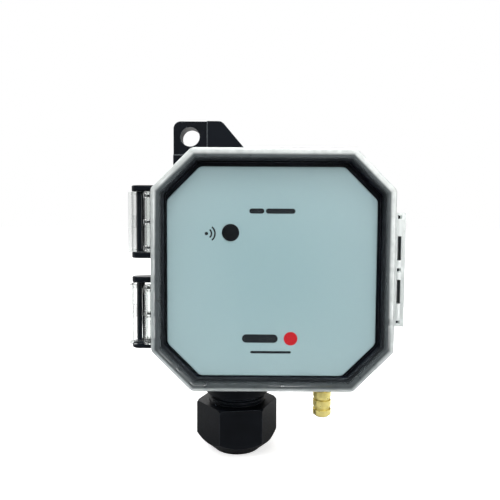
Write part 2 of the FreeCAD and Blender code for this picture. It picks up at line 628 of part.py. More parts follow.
def make_latch(centre):
    """A clear latch: a knuckled barrel, a plate with a window over the bar, and a lip outside the bar."""
    low = centre - LATCH_HALF
    high = centre + LATCH_HALF
    barrel = rod_z(LATCH_X, -LATCH_DEPTH, LATCH_BARREL_R, low, high)
    outer_x = LIP_INNER_X - LATCH_LIP_THICK
    plate = box(outer_x, LATCH_X, -LATCH_DEPTH - LATCH_PLATE_THICK / 2.0,
                -LATCH_DEPTH + LATCH_PLATE_THICK / 2.0, low, high)
    lip = box(outer_x, LIP_INNER_X, -LATCH_DEPTH, -LATCH_LIP_END, low, high)
    latch = barrel.fuse([plate, lip]).removeSplitter()
    corner = [edge for edge in edges_along(latch, FreeCAD.Vector(0, 0, 1))
              if abs(edge.Vertexes[0].Point.x - outer_x) < 1e-6
              and abs(edge.Vertexes[0].Point.y + LATCH_DEPTH + LATCH_PLATE_THICK / 2.0) < 1e-6]
    latch = latch.makeFillet(LATCH_PLATE_THICK / 2.0, corner)
    knuckle_edge = LATCH_X - LATCH_BARREL_R - LATCH_LUG_GAP
    window = box(CATCH_X - CATCH_BAR_R - LATCH_WINDOW_CLEAR, knuckle_edge - LATCH_STRIP,
                 -LATCH_DEPTH - LATCH_PLATE_THICK, -LATCH_DEPTH + LATCH_PLATE_THICK,
                 centre - LATCH_WINDOW_HALF, centre + LATCH_WINDOW_HALF)
    latch = latch.cut(window)
    tab = box(outer_x - LATCH_TAB_REACH, outer_x + LATCH_LIP_THICK / 2.0, -LATCH_LIP_END - LATCH_TAB_HEIGHT,
              -LATCH_LIP_END, centre - LATCH_TAB_HALF, centre + LATCH_TAB_HALF)
    latch = latch.fuse(tab)
    gap = LATCH_LUG_THICK / 2.0 + LATCH_LUG_GAP
    for step in (-1, 0, 1):
        z = centre + step * LATCH_LUG_PITCH
        notch = rod_z(LATCH_X, -LATCH_DEPTH, LATCH_BARREL_R + LATCH_LUG_GAP, z - gap, z + gap)
        latch = latch.cut(notch)
    return latch.cut(rod_z(LATCH_X, -LATCH_DEPTH, LATCH_PIN_R + LATCH_PIN_FIT, low, high)).removeSplitter()


def make_latch_pin(centre):
    return rod_z(LATCH_X, -LATCH_DEPTH, LATCH_PIN_R, centre - LATCH_HALF, centre + LATCH_HALF)


def make_inner_cover():
    cover = case_octagon(RECESS_HALF - COVER_CLEAR, -COVER_FRONT, -LEDGE_DEPTH)
    return cover.cut(rod_y(BUTTON_X, BUTTON_Z, BUTTON_R + BUTTON_CLEAR, -COVER_FRONT, -LEDGE_DEPTH))


def make_face_plate():
    plate = octagon(PLATE_HALF_X, PLATE_HALF_Z, PLATE_LEG, PLATE_CORNER, -PLATE_FRONT, -COVER_FRONT,
                    (PLATE_SHIFT_X, PLATE_SHIFT_Z))
    plate = plate.makeChamfer(PLATE_BEVEL, edges_in_plane(plate, -PLATE_FRONT))
    return plate.cut(rod_y(BUTTON_X, BUTTON_Z, BUTTON_R + BUTTON_CLEAR, -PLATE_FRONT, -COVER_FRONT))


def make_button():
    front = PLATE_FRONT + BUTTON_PROUD
    flange_front = LEDGE_DEPTH - BUTTON_FLANGE_GAP
    flange_back = flange_front - BUTTON_FLANGE_THICK
    stem_end = BOARD_FRONT + SWITCH_HEIGHT + PLUNGER_PROUD
    cap = rod_y(BUTTON_X, BUTTON_Z, BUTTON_R, -front, -flange_front)
    cap = cap.makeFillet(BUTTON_PROUD, edges_in_plane(cap, -front))
    flange = rod_y(BUTTON_X, BUTTON_Z, BUTTON_R + BUTTON_FLANGE, -flange_front, -flange_back)
    stem = rod_y(BUTTON_X, BUTTON_Z, BUTTON_STEM_R, -flange_back, -stem_end)
    return cap.fuse([flange, stem]).removeSplitter()


def make_push_switch():
    front = BOARD_FRONT + SWITCH_HEIGHT
    body = box(BUTTON_X - SWITCH_HALF, BUTTON_X + SWITCH_HALF, -front, -BOARD_FRONT,
               BUTTON_Z - SWITCH_HALF, BUTTON_Z + SWITCH_HALF)
    well = PLUNGER_INSIDE + BUTTON_TRAVEL + PLUNGER_SPARE
    return body.cut(rod_y(BUTTON_X, BUTTON_Z, PLUNGER_R + PLUNGER_FIT, -front, -front + well))


def make_switch_plunger():
    front = BOARD_FRONT + SWITCH_HEIGHT
    return rod_y(BUTTON_X, BUTTON_Z, PLUNGER_R, -front - PLUNGER_PROUD, -front + PLUNGER_INSIDE)


def make_board():
    middle = (BOARD_TOP + BOARD_BOTTOM) / 2.0
    board = octagon(BOARD_HALF, (BOARD_TOP - BOARD_BOTTOM) / 2.0, BOARD_LEG, 0.0, -BOARD_FRONT,
                    -BOARD_BACK, (0.0, middle))
    lower = box(-BOARD_HALF, BOARD_HALF, -BOARD_FRONT, -BOARD_BACK, BOARD_BOTTOM, BOARD_BOTTOM + BOARD_LEG)
    board = board.fuse(lower).removeSplitter()
    for x, z in POSTS:
        board = board.cut(rod_y(x, z, SCREW_HOLE_R, -BOARD_FRONT, -BOARD_BACK))
    return board


def make_board_screws():
    screws = []
    for x, z in POSTS:
        head = rod_y(x, z, SCREW_HEAD_R, -BOARD_FRONT - SCREW_HEAD_THICK, -BOARD_FRONT)
        slot = box(x - SCREW_HEAD_R, x + SCREW_HEAD_R, -BOARD_FRONT - SCREW_HEAD_THICK,
                   SCREW_SLOT_DEEP - BOARD_FRONT - SCREW_HEAD_THICK, z - SCREW_SLOT / 2.0, z + SCREW_SLOT / 2.0)
        shank = rod_y(x, z, SCREW_SHANK_R, -BOARD_FRONT, SCREW_LENGTH - BOARD_FRONT)
        screws.append(head.cut(slot).fuse(shank).removeSplitter())
    return Part.makeCompound(screws)


def make_sensor():
    """The pressure sensor behind the board, with a stepped cap and two nipples that point down."""
    body = box(SENSOR_X - SENSOR_HALF_X, SENSOR_X + SENSOR_HALF_X, -BOARD_BACK, SENSOR_BODY_DEEP - BOARD_BACK,
               -SENSOR_HALF_Z, SENSOR_HALF_Z)
    cap = box(SENSOR_X - SENSOR_HALF_X + SENSOR_CAP_STEP, SENSOR_X + SENSOR_HALF_X - SENSOR_CAP_STEP,
              -BOARD_BACK, SENSOR_DEEP - BOARD_BACK, SENSOR_CAP_STEP - SENSOR_HALF_Z,
              SENSOR_HALF_Z - SENSOR_CAP_STEP)
    sensor = body.fuse(cap)
    for side in SENSOR_SIDE.values():
        x = SENSOR_X + side * SENSOR_NIPPLE_DX
        end = -SENSOR_HALF_Z - SENSOR_NIPPLE_LENGTH
        sensor = sensor.fuse(rod_z(x, -SENSOR_NIPPLE_DEPTH, PORT_NIPPLE_R, end, -SENSOR_HALF_Z))
        sensor = sensor.cut(rod_z(x, -SENSOR_NIPPLE_DEPTH, PORT_BORE_R, end, 0.0))
    return sensor.removeSplitter()


def make_hose(name):
    """A hose that slides over a port's inner nipple and one of the sensor's, bent twice between."""
    x0, depth0 = PORTS[name]
    x1 = SENSOR_X + SENSOR_SIDE[name] * SENSOR_NIPPLE_DX
    start = FreeCAD.Vector(x0, -depth0, PORT_NUT_TOP + HOSE_NUT_GAP)
    end = FreeCAD.Vector(x1, -SENSOR_NIPPLE_DEPTH, -SENSOR_HALF_Z - SENSOR_NIPPLE_GAP)
    side = FreeCAD.Vector(end.x - start.x, end.y - start.y, 0)
    offset = side.Length
    side.normalize()
    angle = math.radians(HOSE_BEND_ANGLE)
    bend_out = HOSE_BEND_R * (1.0 - math.cos(angle))
    bend_up = HOSE_BEND_R * math.sin(angle)
    slant_out = offset - 2.0 * bend_out
    slant_up = slant_out / math.tan(angle)
    straight = (end.z - start.z - 2.0 * bend_up - slant_up) / 2.0

    def at(out, up):
        return start + side * out + FreeCAD.Vector(0, 0, up)

    half_out = HOSE_BEND_R * (1.0 - math.cos(angle / 2.0))
    half_up = HOSE_BEND_R * math.sin(angle / 2.0)
    top = end.z - start.z
    a = at(0.0, straight)
    b = at(bend_out, straight + bend_up)
    c = at(offset - bend_out, top - straight - bend_up)
    d = at(offset, top - straight)
    path = Part.Wire([
        Part.LineSegment(start, a).toShape(),
        Part.Arc(a, at(half_out, straight + half_up), b).toShape(),
        Part.LineSegment(b, c).toShape(),
        Part.Arc(c, at(offset - half_out, top - straight - half_up), d).toShape(),
        Part.LineSegment(d, end).toShape()])
    bore = PORT_NIPPLE_R + HOSE_FIT
    tubes = []
    for radius in (bore + HOSE_WALL, bore):
        ring = Part.Wire(Part.makeCircle(radius, start, FreeCAD.Vector(0, 0, 1)))
        tubes.append(path.makePipeShell([ring], True, False))
    return tubes[0].cut(tubes[1])


def make_terminal():
    """The wiring terminal: a stepped housing with a wire entry below and a screw well at each way."""
    half = TERMINAL_PITCH * TERMINAL_WAYS / 2.0
    front = BOARD_FRONT + TERMINAL_HEIGHT
    block = box(TERMINAL_X - half, TERMINAL_X + half, -front, -BOARD_FRONT, TERMINAL_BOTTOM, TERMINAL_TOP)
    upper = [edge for edge in edges_along(block, FreeCAD.Vector(1, 0, 0))
             if abs(edge.Vertexes[0].Point.y + front) < 1e-6]
    block = block.makeChamfer(TERMINAL_BEVEL, upper)
    for way in range(TERMINAL_WAYS):
        x = TERMINAL_X - half + TERMINAL_PITCH * (way + 0.5)
        middle = BOARD_FRONT + TERMINAL_ENTRY_RISE
        half_entry = TERMINAL_ENTRY / 2.0
        block = block.cut(box(x - half_entry, x + half_entry, -middle - half_entry, half_entry - middle,
                              TERMINAL_BOTTOM, TERMINAL_BOTTOM + TERMINAL_ENTRY_DEEP))
        z = (TERMINAL_TOP + TERMINAL_BOTTOM) / 2.0
        block = block.cut(rod_y(x, z, TERMINAL_SCREW_R + TERMINAL_SCREW_GAP, -front,
                                -front + TERMINAL_SCREW_DEEP))
    return block


def make_terminal_screws():
    half = TERMINAL_PITCH * TERMINAL_WAYS / 2.0
    front = BOARD_FRONT + TERMINAL_HEIGHT
    z = (TERMINAL_TOP + TERMINAL_BOTTOM) / 2.0
    screws = []
    for way in range(TERMINAL_WAYS):
        x = TERMINAL_X - half + TERMINAL_PITCH * (way + 0.5)
        head = rod_y(x, z, TERMINAL_SCREW_R, TERMINAL_SCREW_SINK - front, TERMINAL_SCREW_DEEP - front)
        slot = box(x - TERMINAL_SCREW_R, x + TERMINAL_SCREW_R, -front,
                   TERMINAL_SCREW_SINK + SCREW_SLOT_DEEP - front, z - SCREW_SLOT / 2.0, z + SCREW_SLOT / 2.0)
        screws.append(head.cut(slot))
    return Part.makeCompound(screws)


def make_output_switch():
    length, height, rise = SLIDER_BODY
    knob_x, knob_z = SLIDER_KNOB
    front = BOARD_FRONT + rise
    body = box(SLIDER_X - length / 2.0, SLIDER_X + length / 2.0, -front, -BOARD_FRONT,
               SLIDER_Z - height / 2.0, SLIDER_Z + height / 2.0)
    half = (knob_x + SLIDER_TRAVEL) / 2.0 + SLIDER_FIT
    well = box(SLIDER_X - half, SLIDER_X + half, -front, -front + SLIDER_WELL,
               SLIDER_Z - knob_z / 2.0 - SLIDER_FIT, SLIDER_Z + knob_z / 2.0 + SLIDER_FIT)
    return body.cut(well)


def make_output_slider():
    knob_x, knob_z = SLIDER_KNOB
    front = BOARD_FRONT + SLIDER_BODY[2]
    x = SLIDER_X - (knob_x + SLIDER_TRAVEL) / 2.0
    return box(x, x + knob_x, -front - SLIDER_KNOB_PROUD, -front + SLIDER_WELL - SLIDER_FIT,
               SLIDER_Z - knob_z / 2.0, SLIDER_Z + knob_z / 2.0)


def make_radio_module():
    """The radio's carrier board with a shield can over all but its aerial end."""
    length, height = RADIO_SIZE
    left = RADIO_RIGHT - length
    bottom = RADIO_TOP - height
    front = BOARD_FRONT + RADIO_CARRIER
    carrier = box(left, RADIO_RIGHT, -front, -BOARD_FRONT, bottom, RADIO_TOP)
    can = box(left + RADIO_CAN_INSET, left + RADIO_CAN_INSET + RADIO_CAN_LENGTH, -front - RADIO_CAN, -front,
              bottom + RADIO_CAN_INSET, RADIO_TOP - RADIO_CAN_INSET)
    return carrier.fuse(can)


def make_capacitors():
    cans = []
    for x in CAN_XS:
        can = rod_y(x, CAN_Z, CAN_R, -BOARD_FRONT - CAN_HEIGHT, -BOARD_FRONT)
        cans.append(can.makeFillet(CAN_ROUND, edges_in_plane(can, -BOARD_FRONT - CAN_HEIGHT)))
    return Part.makeCompound(cans)


def make_gland_washer():
    outer = rod_z(GLAND_X, -GLAND_DEPTH, GLAND_COLLAR_R, GLAND_COLLAR_TOP, GLAND_PAD_Z)
    hole = rod_z(GLAND_X, -GLAND_DEPTH, GLAND_SHANK_R + GLAND_SHANK_FIT, GLAND_COLLAR_TOP, GLAND_PAD_Z)
    return outer.cut(hole)


def thread_groove(x, y, z):
    """One groove of the nut's thread, as a ring with sloped flanks."""
    half = GLAND_THREAD_PITCH / 2.0
    outside = GLAND_THREAD_R + GLAND_NUT_FIT
    return turned([(outside, z - half), (GLAND_THREAD_R - GLAND_THREAD_DEEP, z), (outside, z + half)], x, y)


def make_gland_body():
    """The gland body: wall shank, round collar, nut thread and a crown of claws round the seal."""
    x = GLAND_X
    y = -GLAND_DEPTH
    top = -CAVITY_HALF + GLAND_LOCKNUT_THICK + GLAND_SHANK_SPARE
    collar = rod_z(x, y, GLAND_COLLAR_R, GLAND_COLLAR_END, GLAND_COLLAR_TOP)
    lowest = [edge for edge in collar.Edges if edge.BoundBox.ZMax < GLAND_COLLAR_END + 1e-6]
    collar = collar.makeChamfer(GLAND_COLLAR_BEVEL, lowest)
    shank = rod_z(x, y, GLAND_SHANK_R, GLAND_COLLAR_TOP, top)
    thread = rod_z(x, y, GLAND_THREAD_R, GLAND_THREAD_END, GLAND_COLLAR_END)
    for number in range(GLAND_THREAD_OPEN):
        thread = thread.cut(thread_groove(x, y, GLAND_COLLAR_END - GLAND_THREAD_PITCH * (number + 0.5)))
    claws = rod_z(x, y, GLAND_CLAW_R, GLAND_CLAW_END, GLAND_THREAD_END)
    body = collar.fuse([shank, thread, claws])
    body = body.cut(rod_z(x, y, GLAND_BORE_R, GLAND_SEAL_TOP, top))
    body = body.cut(rod_z(x, y, GLAND_SEAT_R, GLAND_CLAW_END, GLAND_SEAL_TOP))
    for number in range(GLAND_CLAW_COUNT):
        slot = box(0.0, GLAND_THREAD_R, -GLAND_CLAW_SLOT / 2.0, GLAND_CLAW_SLOT / 2.0, 0.0, GLAND_CLAW_LENGTH)
        slot.rotate(FreeCAD.Vector(0, 0, 0), FreeCAD.Vector(0, 0, 1), 360.0 * number / GLAND_CLAW_COUNT)
        slot.translate(FreeCAD.Vector(x, y, GLAND_CLAW_END))
        body = body.cut(slot)
    return body.removeSplitter()


def make_gland_seal():
    outer = rod_z(GLAND_X, -GLAND_DEPTH, GLAND_SEAL_R, GLAND_SEAL_END, GLAND_SEAL_TOP)
    return outer.cut(rod_z(GLAND_X, -GLAND_DEPTH, GLAND_SEAL_BORE_R, GLAND_SEAL_END, GLAND_SEAL_TOP))


def make_gland_nut():
    """The cap nut: a hexagon that narrows by a cone to its mouth, hollow for thread, claws and cable."""
    x = GLAND_X
    y = -GLAND_DEPTH
    top = GLAND_NUT_TOP
    shoulder = top - GLAND_NUT_HEX
    end = top - GLAND_NUT_HEIGHT
    radius = GLAND_NUT_AF * HEX_CORNER
    bevel = GLAND_NUT_BEVEL
    profile = [(0.0, top), (radius - bevel, top), (radius, top - bevel), (radius, shoulder),
               (GLAND_NUT_END_R, end + bevel), (GLAND_NUT_END_R - bevel, end), (0.0, end)]
    nut = hexagon_z(x, y, GLAND_NUT_AF, GLAND_NUT_TURN, end, top).common(turned(profile, x, y))
    thread = GLAND_THREAD_R + GLAND_NUT_FIT
    cone_start = GLAND_CLAW_END + GLAND_CLAW_R - thread
    hollow = [(0.0, top), (thread, top), (thread, cone_start), (GLAND_SEAL_R + GLAND_CONE_GAP, GLAND_SEAL_END),
              (GLAND_NUT_MOUTH_R, end + GLAND_NUT_MOUTH_WALL), (GLAND_NUT_MOUTH_R, end), (0.0, end)]
    return nut.cut(turned(hollow, x, y)).removeSplitter()


def make_gland_locknut():
    nut = bevelled_hexagon(GLAND_X, -GLAND_DEPTH, GLAND_LOCKNUT_AF, GLAND_LOCKNUT_TURN, -CAVITY_HALF,
                           -CAVITY_HALF + GLAND_LOCKNUT_THICK, 0.0, GLAND_LOCKNUT_BEVEL)
    return nut.cut(rod_z(GLAND_X, -GLAND_DEPTH, GLAND_SHANK_R + GLAND_SHANK_FIT, -CAVITY_HALF,
                         -CAVITY_HALF + GLAND_LOCKNUT_THICK))


def make_port(name):
    """A turned brass port: hose barbs below, a hexagon under the case, a shank through it and a nipple."""
    x, depth = PORTS[name]
    hex_end = -BASE_HALF - PORT_HEX_THICK
    profile = [(PORT_BORE_R, -PORT_TIP), (PORT_TIP_R - PORT_TIP_BEVEL, -PORT_TIP)]
    lip = (PORT_TIP_R, PORT_TIP_BEVEL - PORT_TIP)
    z = -PORT_TIP
    for _ in range(PORT_BARB_COUNT):
        shoulder = z + PORT_BARB_PITCH - PORT_BARB_GROOVE
        profile.append(lip)
        profile.append((PORT_CREST_R, shoulder - PORT_BARB_LAND))
        profile.append((PORT_CREST_R, shoulder))
        profile.append((PORT_ROOT_R, shoulder))
        z = z + PORT_BARB_PITCH
        profile.append((PORT_ROOT_R, z))
        lip = (PORT_LIP_R, z)
    profile.append((PORT_NECK_R, z))
    profile.append((PORT_NECK_R, -BASE_HALF))
    profile.append((PORT_SHANK_R, -BASE_HALF))
    profile.append((PORT_SHANK_R, PORT_NUT_TOP))
    profile.append((PORT_NIPPLE_R, PORT_NUT_TOP))
    profile.append((PORT_NIPPLE_R, PORT_NIPPLE_TOP))
    profile.append((PORT_BORE_R, PORT_NIPPLE_TOP))
    port = turned(profile, x, -depth)
    port = port.fuse(bevelled_hexagon(x, -depth, PORT_HEX_AF, 0.0, hex_end, -BASE_HALF, PORT_HEX_BEVEL, 0.0))
    return port.cut(rod_z(x, -depth, PORT_BORE_R, -PORT_TIP, PORT_NIPPLE_TOP)).removeSplitter()


def make_port_nuts():
    nuts = []
    for x, depth in PORTS.values():
        nut = bevelled_hexagon(x, -depth, PORT_HEX_AF, PORT_NUT_TURN, PORT_SEAT_Z, PORT_NUT_TOP, 0.0,
                               PORT_HEX_BEVEL)
        nuts.append(nut.cut(rod_z(x, -depth, PORT_SHANK_R, PORT_SEAT_Z, PORT_NUT_TOP)))
    return Part.makeCompound(nuts)


def main():
    parts = {
        "base": make_base(),
        "lid": make_lid(),
        "lid_gasket": make_gasket(),
        "hinge_pin": make_hinge_pin(),
        "latch_upper": make_latch(LATCH_Z[0]),
        "latch_lower": make_latch(LATCH_Z[1]),
        "latch_pin_upper": make_latch_pin(LATCH_Z[0]),
        "latch_pin_lower": make_latch_pin(LATCH_Z[1]),
        "inner_cover": make_inner_cover(),
        "face_plate": make_face_plate(),
        "button": make_button(),
        "push_switch": make_push_switch(),
        "switch_plunger": make_switch_plunger(),
        "circuit_board": make_board(),
        "board_screws": make_board_screws(),
        "pressure_sensor": make_sensor(),
        "high_hose": make_hose("high"),
        "low_hose": make_hose("low"),
        "terminal_block": make_terminal(),
        "terminal_screws": make_terminal_screws(),
        "output_switch": make_output_switch(),
        "output_slider": make_output_slider(),
        "radio_module": make_radio_module(),
        "capacitors": make_capacitors(),
        "gland_washer": make_gland_washer(),
        "gland_body": make_gland_body(),
        "gland_seal": make_gland_seal(),
        "gland_nut": make_gland_nut(),
        "gland_locknut": make_gland_locknut(),
        "high_port": make_port("high"),
        "low_port": make_port("low"),
        "port_nuts": make_port_nuts(),
    }
    os.makedirs("parts", exist_ok=True)
    for name, shape in parts.items():
        shape.exportStep("parts/" + name + ".step")
        box_of_part = shape.BoundBox
        print(name, len(shape.Solids), shape.isValid(), round(shape.Volume, 1),
              [round(value, 2) for value in (box_of_part.XMin, box_of_part.XMax, box_of_part.YMin,
                                             box_of_part.YMax, box_of_part.ZMin, box_of_part.ZMax)])


main()
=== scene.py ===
"""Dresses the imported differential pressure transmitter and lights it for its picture.

Lengths are written in millimetres and turned into metres by MM. X is to the right, Z is up, and the
front of the case faces -Y.
"""

import logging
import math
from dataclasses import dataclass, field
from enum import Enum

import bpy
import numpy as np
from mathutils import Matrix, Vector


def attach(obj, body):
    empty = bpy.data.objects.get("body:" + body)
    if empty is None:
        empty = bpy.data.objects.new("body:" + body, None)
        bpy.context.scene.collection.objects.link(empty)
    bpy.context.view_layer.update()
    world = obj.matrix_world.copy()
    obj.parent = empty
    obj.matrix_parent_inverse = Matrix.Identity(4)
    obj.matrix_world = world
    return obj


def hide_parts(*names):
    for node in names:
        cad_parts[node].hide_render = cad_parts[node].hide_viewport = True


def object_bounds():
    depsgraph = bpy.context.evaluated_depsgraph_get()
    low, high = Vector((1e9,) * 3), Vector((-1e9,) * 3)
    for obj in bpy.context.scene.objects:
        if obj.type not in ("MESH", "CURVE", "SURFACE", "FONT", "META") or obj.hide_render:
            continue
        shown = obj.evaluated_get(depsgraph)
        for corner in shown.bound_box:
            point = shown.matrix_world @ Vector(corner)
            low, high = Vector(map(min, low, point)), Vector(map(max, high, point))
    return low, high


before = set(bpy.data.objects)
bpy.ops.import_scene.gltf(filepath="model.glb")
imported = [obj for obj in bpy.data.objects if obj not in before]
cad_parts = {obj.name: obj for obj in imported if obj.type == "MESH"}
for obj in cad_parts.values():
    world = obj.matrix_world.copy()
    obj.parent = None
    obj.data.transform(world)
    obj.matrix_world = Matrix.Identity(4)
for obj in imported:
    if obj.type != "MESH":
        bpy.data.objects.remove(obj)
CAD_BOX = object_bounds()

LOG = logging.getLogger("scene")
MM = 0.001
HOUSING = "housing"

# Sizes of the lid and its hinge strip in the part's source, in millimetres
LID_HALF = 45.0
LID_LEG = 15.0
HINGE_X = 48.3
HINGE_FRONT = 41.8
SLIT_HALF_WIDTH = 0.7
SLIT_MIDDLE = 8.3
SLIT_HALF_LENGTH = 4.6

# How much shorter the octagon's leg gets for each millimetre that its sides move in
LEG_PER_OFFSET = 2.0 - math.sqrt(2.0)

Colour = tuple[float, float, float]
Place = tuple[float, float, float]

# White light, factors that leave coordinates as they are, the index of refraction of plastic, and
# the weight of each finer layer of a noise
WHITE = (1.0, 1.0, 1.0)
EVEN = (1.0, 1.0, 1.0)
PLASTIC_INDEX = 1.5
FINER_SHARE = 0.55


class Ray(Enum):
    """The kinds of ray that a Light Path node can tell apart."""

    CAMERA = "Is Camera Ray"
    GLOSSY = "Is Glossy Ray"
    TRANSMISSION = "Is Transmission Ray"
    SHADOW = "Is Shadow Ray"


class Mixing(Enum):
    """What a Mix node mixes: its data type, its inputs for share and values, its output."""

    NUMBERS = ("FLOAT", (0, 2, 3), 0)
    COLOURS = ("RGBA", (0, 6, 7), 2)


@dataclass(frozen=True)
class Span:
    """A stretch of a value over which something fades from one level to another.

    Attributes:
        start: Where the fade starts.
        end: Where it ends.
    """

    start: float
    end: float


# The painted highlight on sharp edges: the rays that look for them, its greatest share, and the
# cosine of the turn in the rounded normal over which it fades out
BEVEL_SAMPLES = 6
MOST_EDGE_HIGHLIGHT = 0.8
EDGE_HIGHLIGHT_TURN = Span(0.82, 0.98)


def linear(red: int, green: int, blue: int) -> Colour:
    """Turns a display colour into the linear values that a shader takes.

    The curve is the display standard's: a straight foot, and a power of 2.4 above it.

    Args:
        red: The red value, 0 to 255.
        green: The green value, 0 to 255.
        blue: The blue value, 0 to 255.

    Returns:
        The same colour in linear light.
    """
    share = np.array([red, green, blue]) / 255.0
    light = np.where(share <= 0.04045, share / 12.92, ((share + 0.055) / 1.055) ** 2.4)
    return tuple(float(value) for value in light)


@dataclass
class NodeGraph:
    """A material's node tree with short calls to add to it.

    Attributes:
        tree: The node tree.
    """

    tree: bpy.types.NodeTree

    def add(self, kind: str, **inputs: object) -> bpy.types.Node:
        """Adds a node and fills in its inputs.

        Args:
            kind: The node's type name.
            **inputs: Values or output sockets, keyed by input name with _ for a space.

        Returns:
            The new node.
        """
        node = self.tree.nodes.new(kind)
        for name, value in inputs.items():
            self.feed(node.inputs[name.replace("_", " ")], value)
        return node

    def feed(self, socket: bpy.types.NodeSocket, value: object) -> None:
        """Links an output to a socket, or writes a value on it.

        Args:
            socket: The input socket.
            value: An output socket, a number, or a colour.
        """
        if isinstance(value, bpy.types.NodeSocket):
            self.tree.links.new(value, socket)
        elif isinstance(value, tuple) and len(value) == 3 and socket.type == "RGBA":
            socket.default_value = (*value, 1.0)
        else:
            socket.default_value = value

    def place(self, stretch: Place = EVEN) -> bpy.types.NodeSocket:
        """Gives the object coordinates, stretched by a factor along each axis.

        Args:
            stretch: The factors along X, Y and Z.

        Returns:
            The vector output.
        """
        coords = self.add("ShaderNodeTexCoord").outputs["Object"]
        mapping = self.add("ShaderNodeMapping", Vector=coords, Scale=stretch)
        return mapping.outputs["Vector"]

    def noise(
        self, size: float, detail: float = 2.0, stretch: Place = EVEN
    ) -> bpy.types.NodeSocket:
        """Adds a noise whose blotches are about a given size.

        Args:
            size: The blotches' size in millimetres.
            detail: The number of finer layers.
            stretch: Factors on the coordinates along X, Y and Z.

        Returns:
            The noise value, 0 to 1.
        """
        node = self.add(
            "ShaderNodeTexNoise",
            Vector=self.place(stretch),
            Scale=1.0 / (size * MM),
            Detail=detail,
            Roughness=FINER_SHARE,
        )
        return node.outputs["Fac"]

    def ranged(
        self, value: bpy.types.NodeSocket, low: float, high: float, span: Span = Span(0.3, 0.7)
    ) -> bpy.types.NodeSocket:
        """Maps a value from a span to a range, and holds the range's ends outside the span.

        Args:
            value: The value.
            low: The result at the span's start.
            high: The result at its end.
            span: The span, by default the middle of a noise.

        Returns:
            The mapped value.
        """
        node = self.add(
            "ShaderNodeMapRange",
            Value=value,
            From_Min=span.start,
            From_Max=span.end,
            To_Min=low,
            To_Max=high,
        )
        return node.outputs["Result"]

    def mix(
        self, kind: Mixing, share: object, first: object, second: object
    ) -> bpy.types.NodeSocket:
        """Mixes two numbers or two colours.

        Args:
            kind: Which of the two.
            share: The share of the second, a number or a socket.
            first: The first value.
            second: The second value.

        Returns:
            The output with the mixed value.
        """
        data_type, places, result = kind.value
        node = self.tree.nodes.new("ShaderNodeMix")
        node.data_type = data_type
        for place, value in zip(places, (share, first, second)):
            self.feed(node.inputs[place], value)
        return node.outputs[result]

    def mixed(self, share: object, first: object, second: object) -> bpy.types.NodeSocket:
        """Mixes two colours by the share of the second."""
        return self.mix(Mixing.COLOURS, share, first, second)

    def chosen(self, share: object, first: object, second: object) -> bpy.types.NodeSocket:
        """Mixes two numbers by the share of the second."""
        return self.mix(Mixing.NUMBERS, share, first, second)

    def maths(self, operation: str, first: object, second: object = 0.0) -> bpy.types.NodeSocket:
        """Adds one step of arithmetic.

        Args:
            operation: The Math node's operation.
            first: The first number.
            second: The second number.

        Returns:
            The value output.
        """
        node = self.tree.nodes.new("ShaderNodeMath")
        node.operation = operation
        for socket, value in zip(node.inputs, (first, second)):
            self.feed(socket, value)
        return node.outputs["Value"]

    def position(self) -> tuple[bpy.types.NodeSocket, bpy.types.NodeSocket, bpy.types.NodeSocket]:
        """Gives the X, Y and Z outputs of the object coordinates in millimetres."""
        parts = self.add("ShaderNodeSeparateXYZ", Vector=self.place((1.0 / MM, 1.0 / MM, 1.0 / MM)))
        return tuple(parts.outputs)

    def outwards(self) -> bpy.types.NodeSocket:
        """Gives how far a point lies outside the lid's octagon, in millimetres.

        The distance is the largest of three: past the upright sides, past the level sides, and
        past the slanting sides, where X and Z add up to twice the half width less the leg.

        Returns:
            The value output, below zero inside the octagon.
        """
        x, _, z = self.position()
        across = self.maths("ABSOLUTE", x)
        up = self.maths("ABSOLUTE", z)
        straight = self.maths("SUBTRACT", self.maths("MAXIMUM", across, up), LID_HALF)
        both = self.maths("SUBTRACT", self.maths("ADD", across, up), 2.0 * LID_HALF - LID_LEG)
        return self.maths("MAXIMUM", straight, self.maths("MULTIPLY", both, math.sqrt(0.5)))

    def bump(
        self, height: bpy.types.NodeSocket, depth: float, under: object = None
    ) -> bpy.types.NodeSocket:
        """Turns a height into a bent normal.

        Args:
            height: The height, 0 to 1.
            depth: The depth of the relief in millimetres.
            under: The normal output of an earlier bump, or None.

        Returns:
            The normal output.
        """
        node = self.add("ShaderNodeBump", Height=height, Distance=depth * MM, Strength=1.0)
        if under is not None:
            self.feed(node.inputs["Normal"], under)
        return node.outputs["Normal"]

    def edges_and_highlight(self, radius: float) -> tuple[bpy.types.NodeSocket, bpy.types.NodeSocket]:
        """Finds the sharp edges of a piece, where a highlight is painted.

        Args:
            radius: How far the edges' rounding reaches in millimetres.

        Returns:
            The normal with its edges rounded, and the share of painted highlight.
        """
        soft = self.add("ShaderNodeBevel", Radius=radius * MM)
        soft.samples = BEVEL_SAMPLES
        straight = self.add("ShaderNodeNewGeometry").outputs["Normal"]
        turned = self.tree.nodes.new("ShaderNodeVectorMath")
        turned.operation = "DOT_PRODUCT"
        for socket, normal in zip(turned.inputs, (soft.outputs["Normal"], straight)):
            self.feed(socket, normal)
        share = self.ranged(turned.outputs["Value"], MOST_EDGE_HIGHLIGHT, 0.0, EDGE_HIGHLIGHT_TURN)
        return soft.outputs["Normal"], share

    def any_ray(self, *rays: Ray) -> bpy.types.NodeSocket:
        """Gives 1 on any of the named kinds of ray.

        Args:
            *rays: The kinds of ray.

        Returns:
            The value output.
        """
        path = self.add("ShaderNodeLightPath")
        found = path.outputs[rays[0].value]
        for ray in rays[1:]:
            found = self.maths("MAXIMUM", found, path.outputs[ray.value])
        return found

    def blend_shaders(
        self, share: object, first: bpy.types.NodeSocket, second: bpy.types.NodeSocket
    ) -> bpy.types.NodeSocket:
        """Mixes two shaders.

        Args:
            share: The share of the second.
            first: The first shader.
            second: The second shader.

        Returns:
            The shader output.
        """
        node = self.tree.nodes.new("ShaderNodeMixShader")
        for socket, value in zip(node.inputs, (share, first, second)):
            self.feed(socket, value)
        return node.outputs["Shader"]


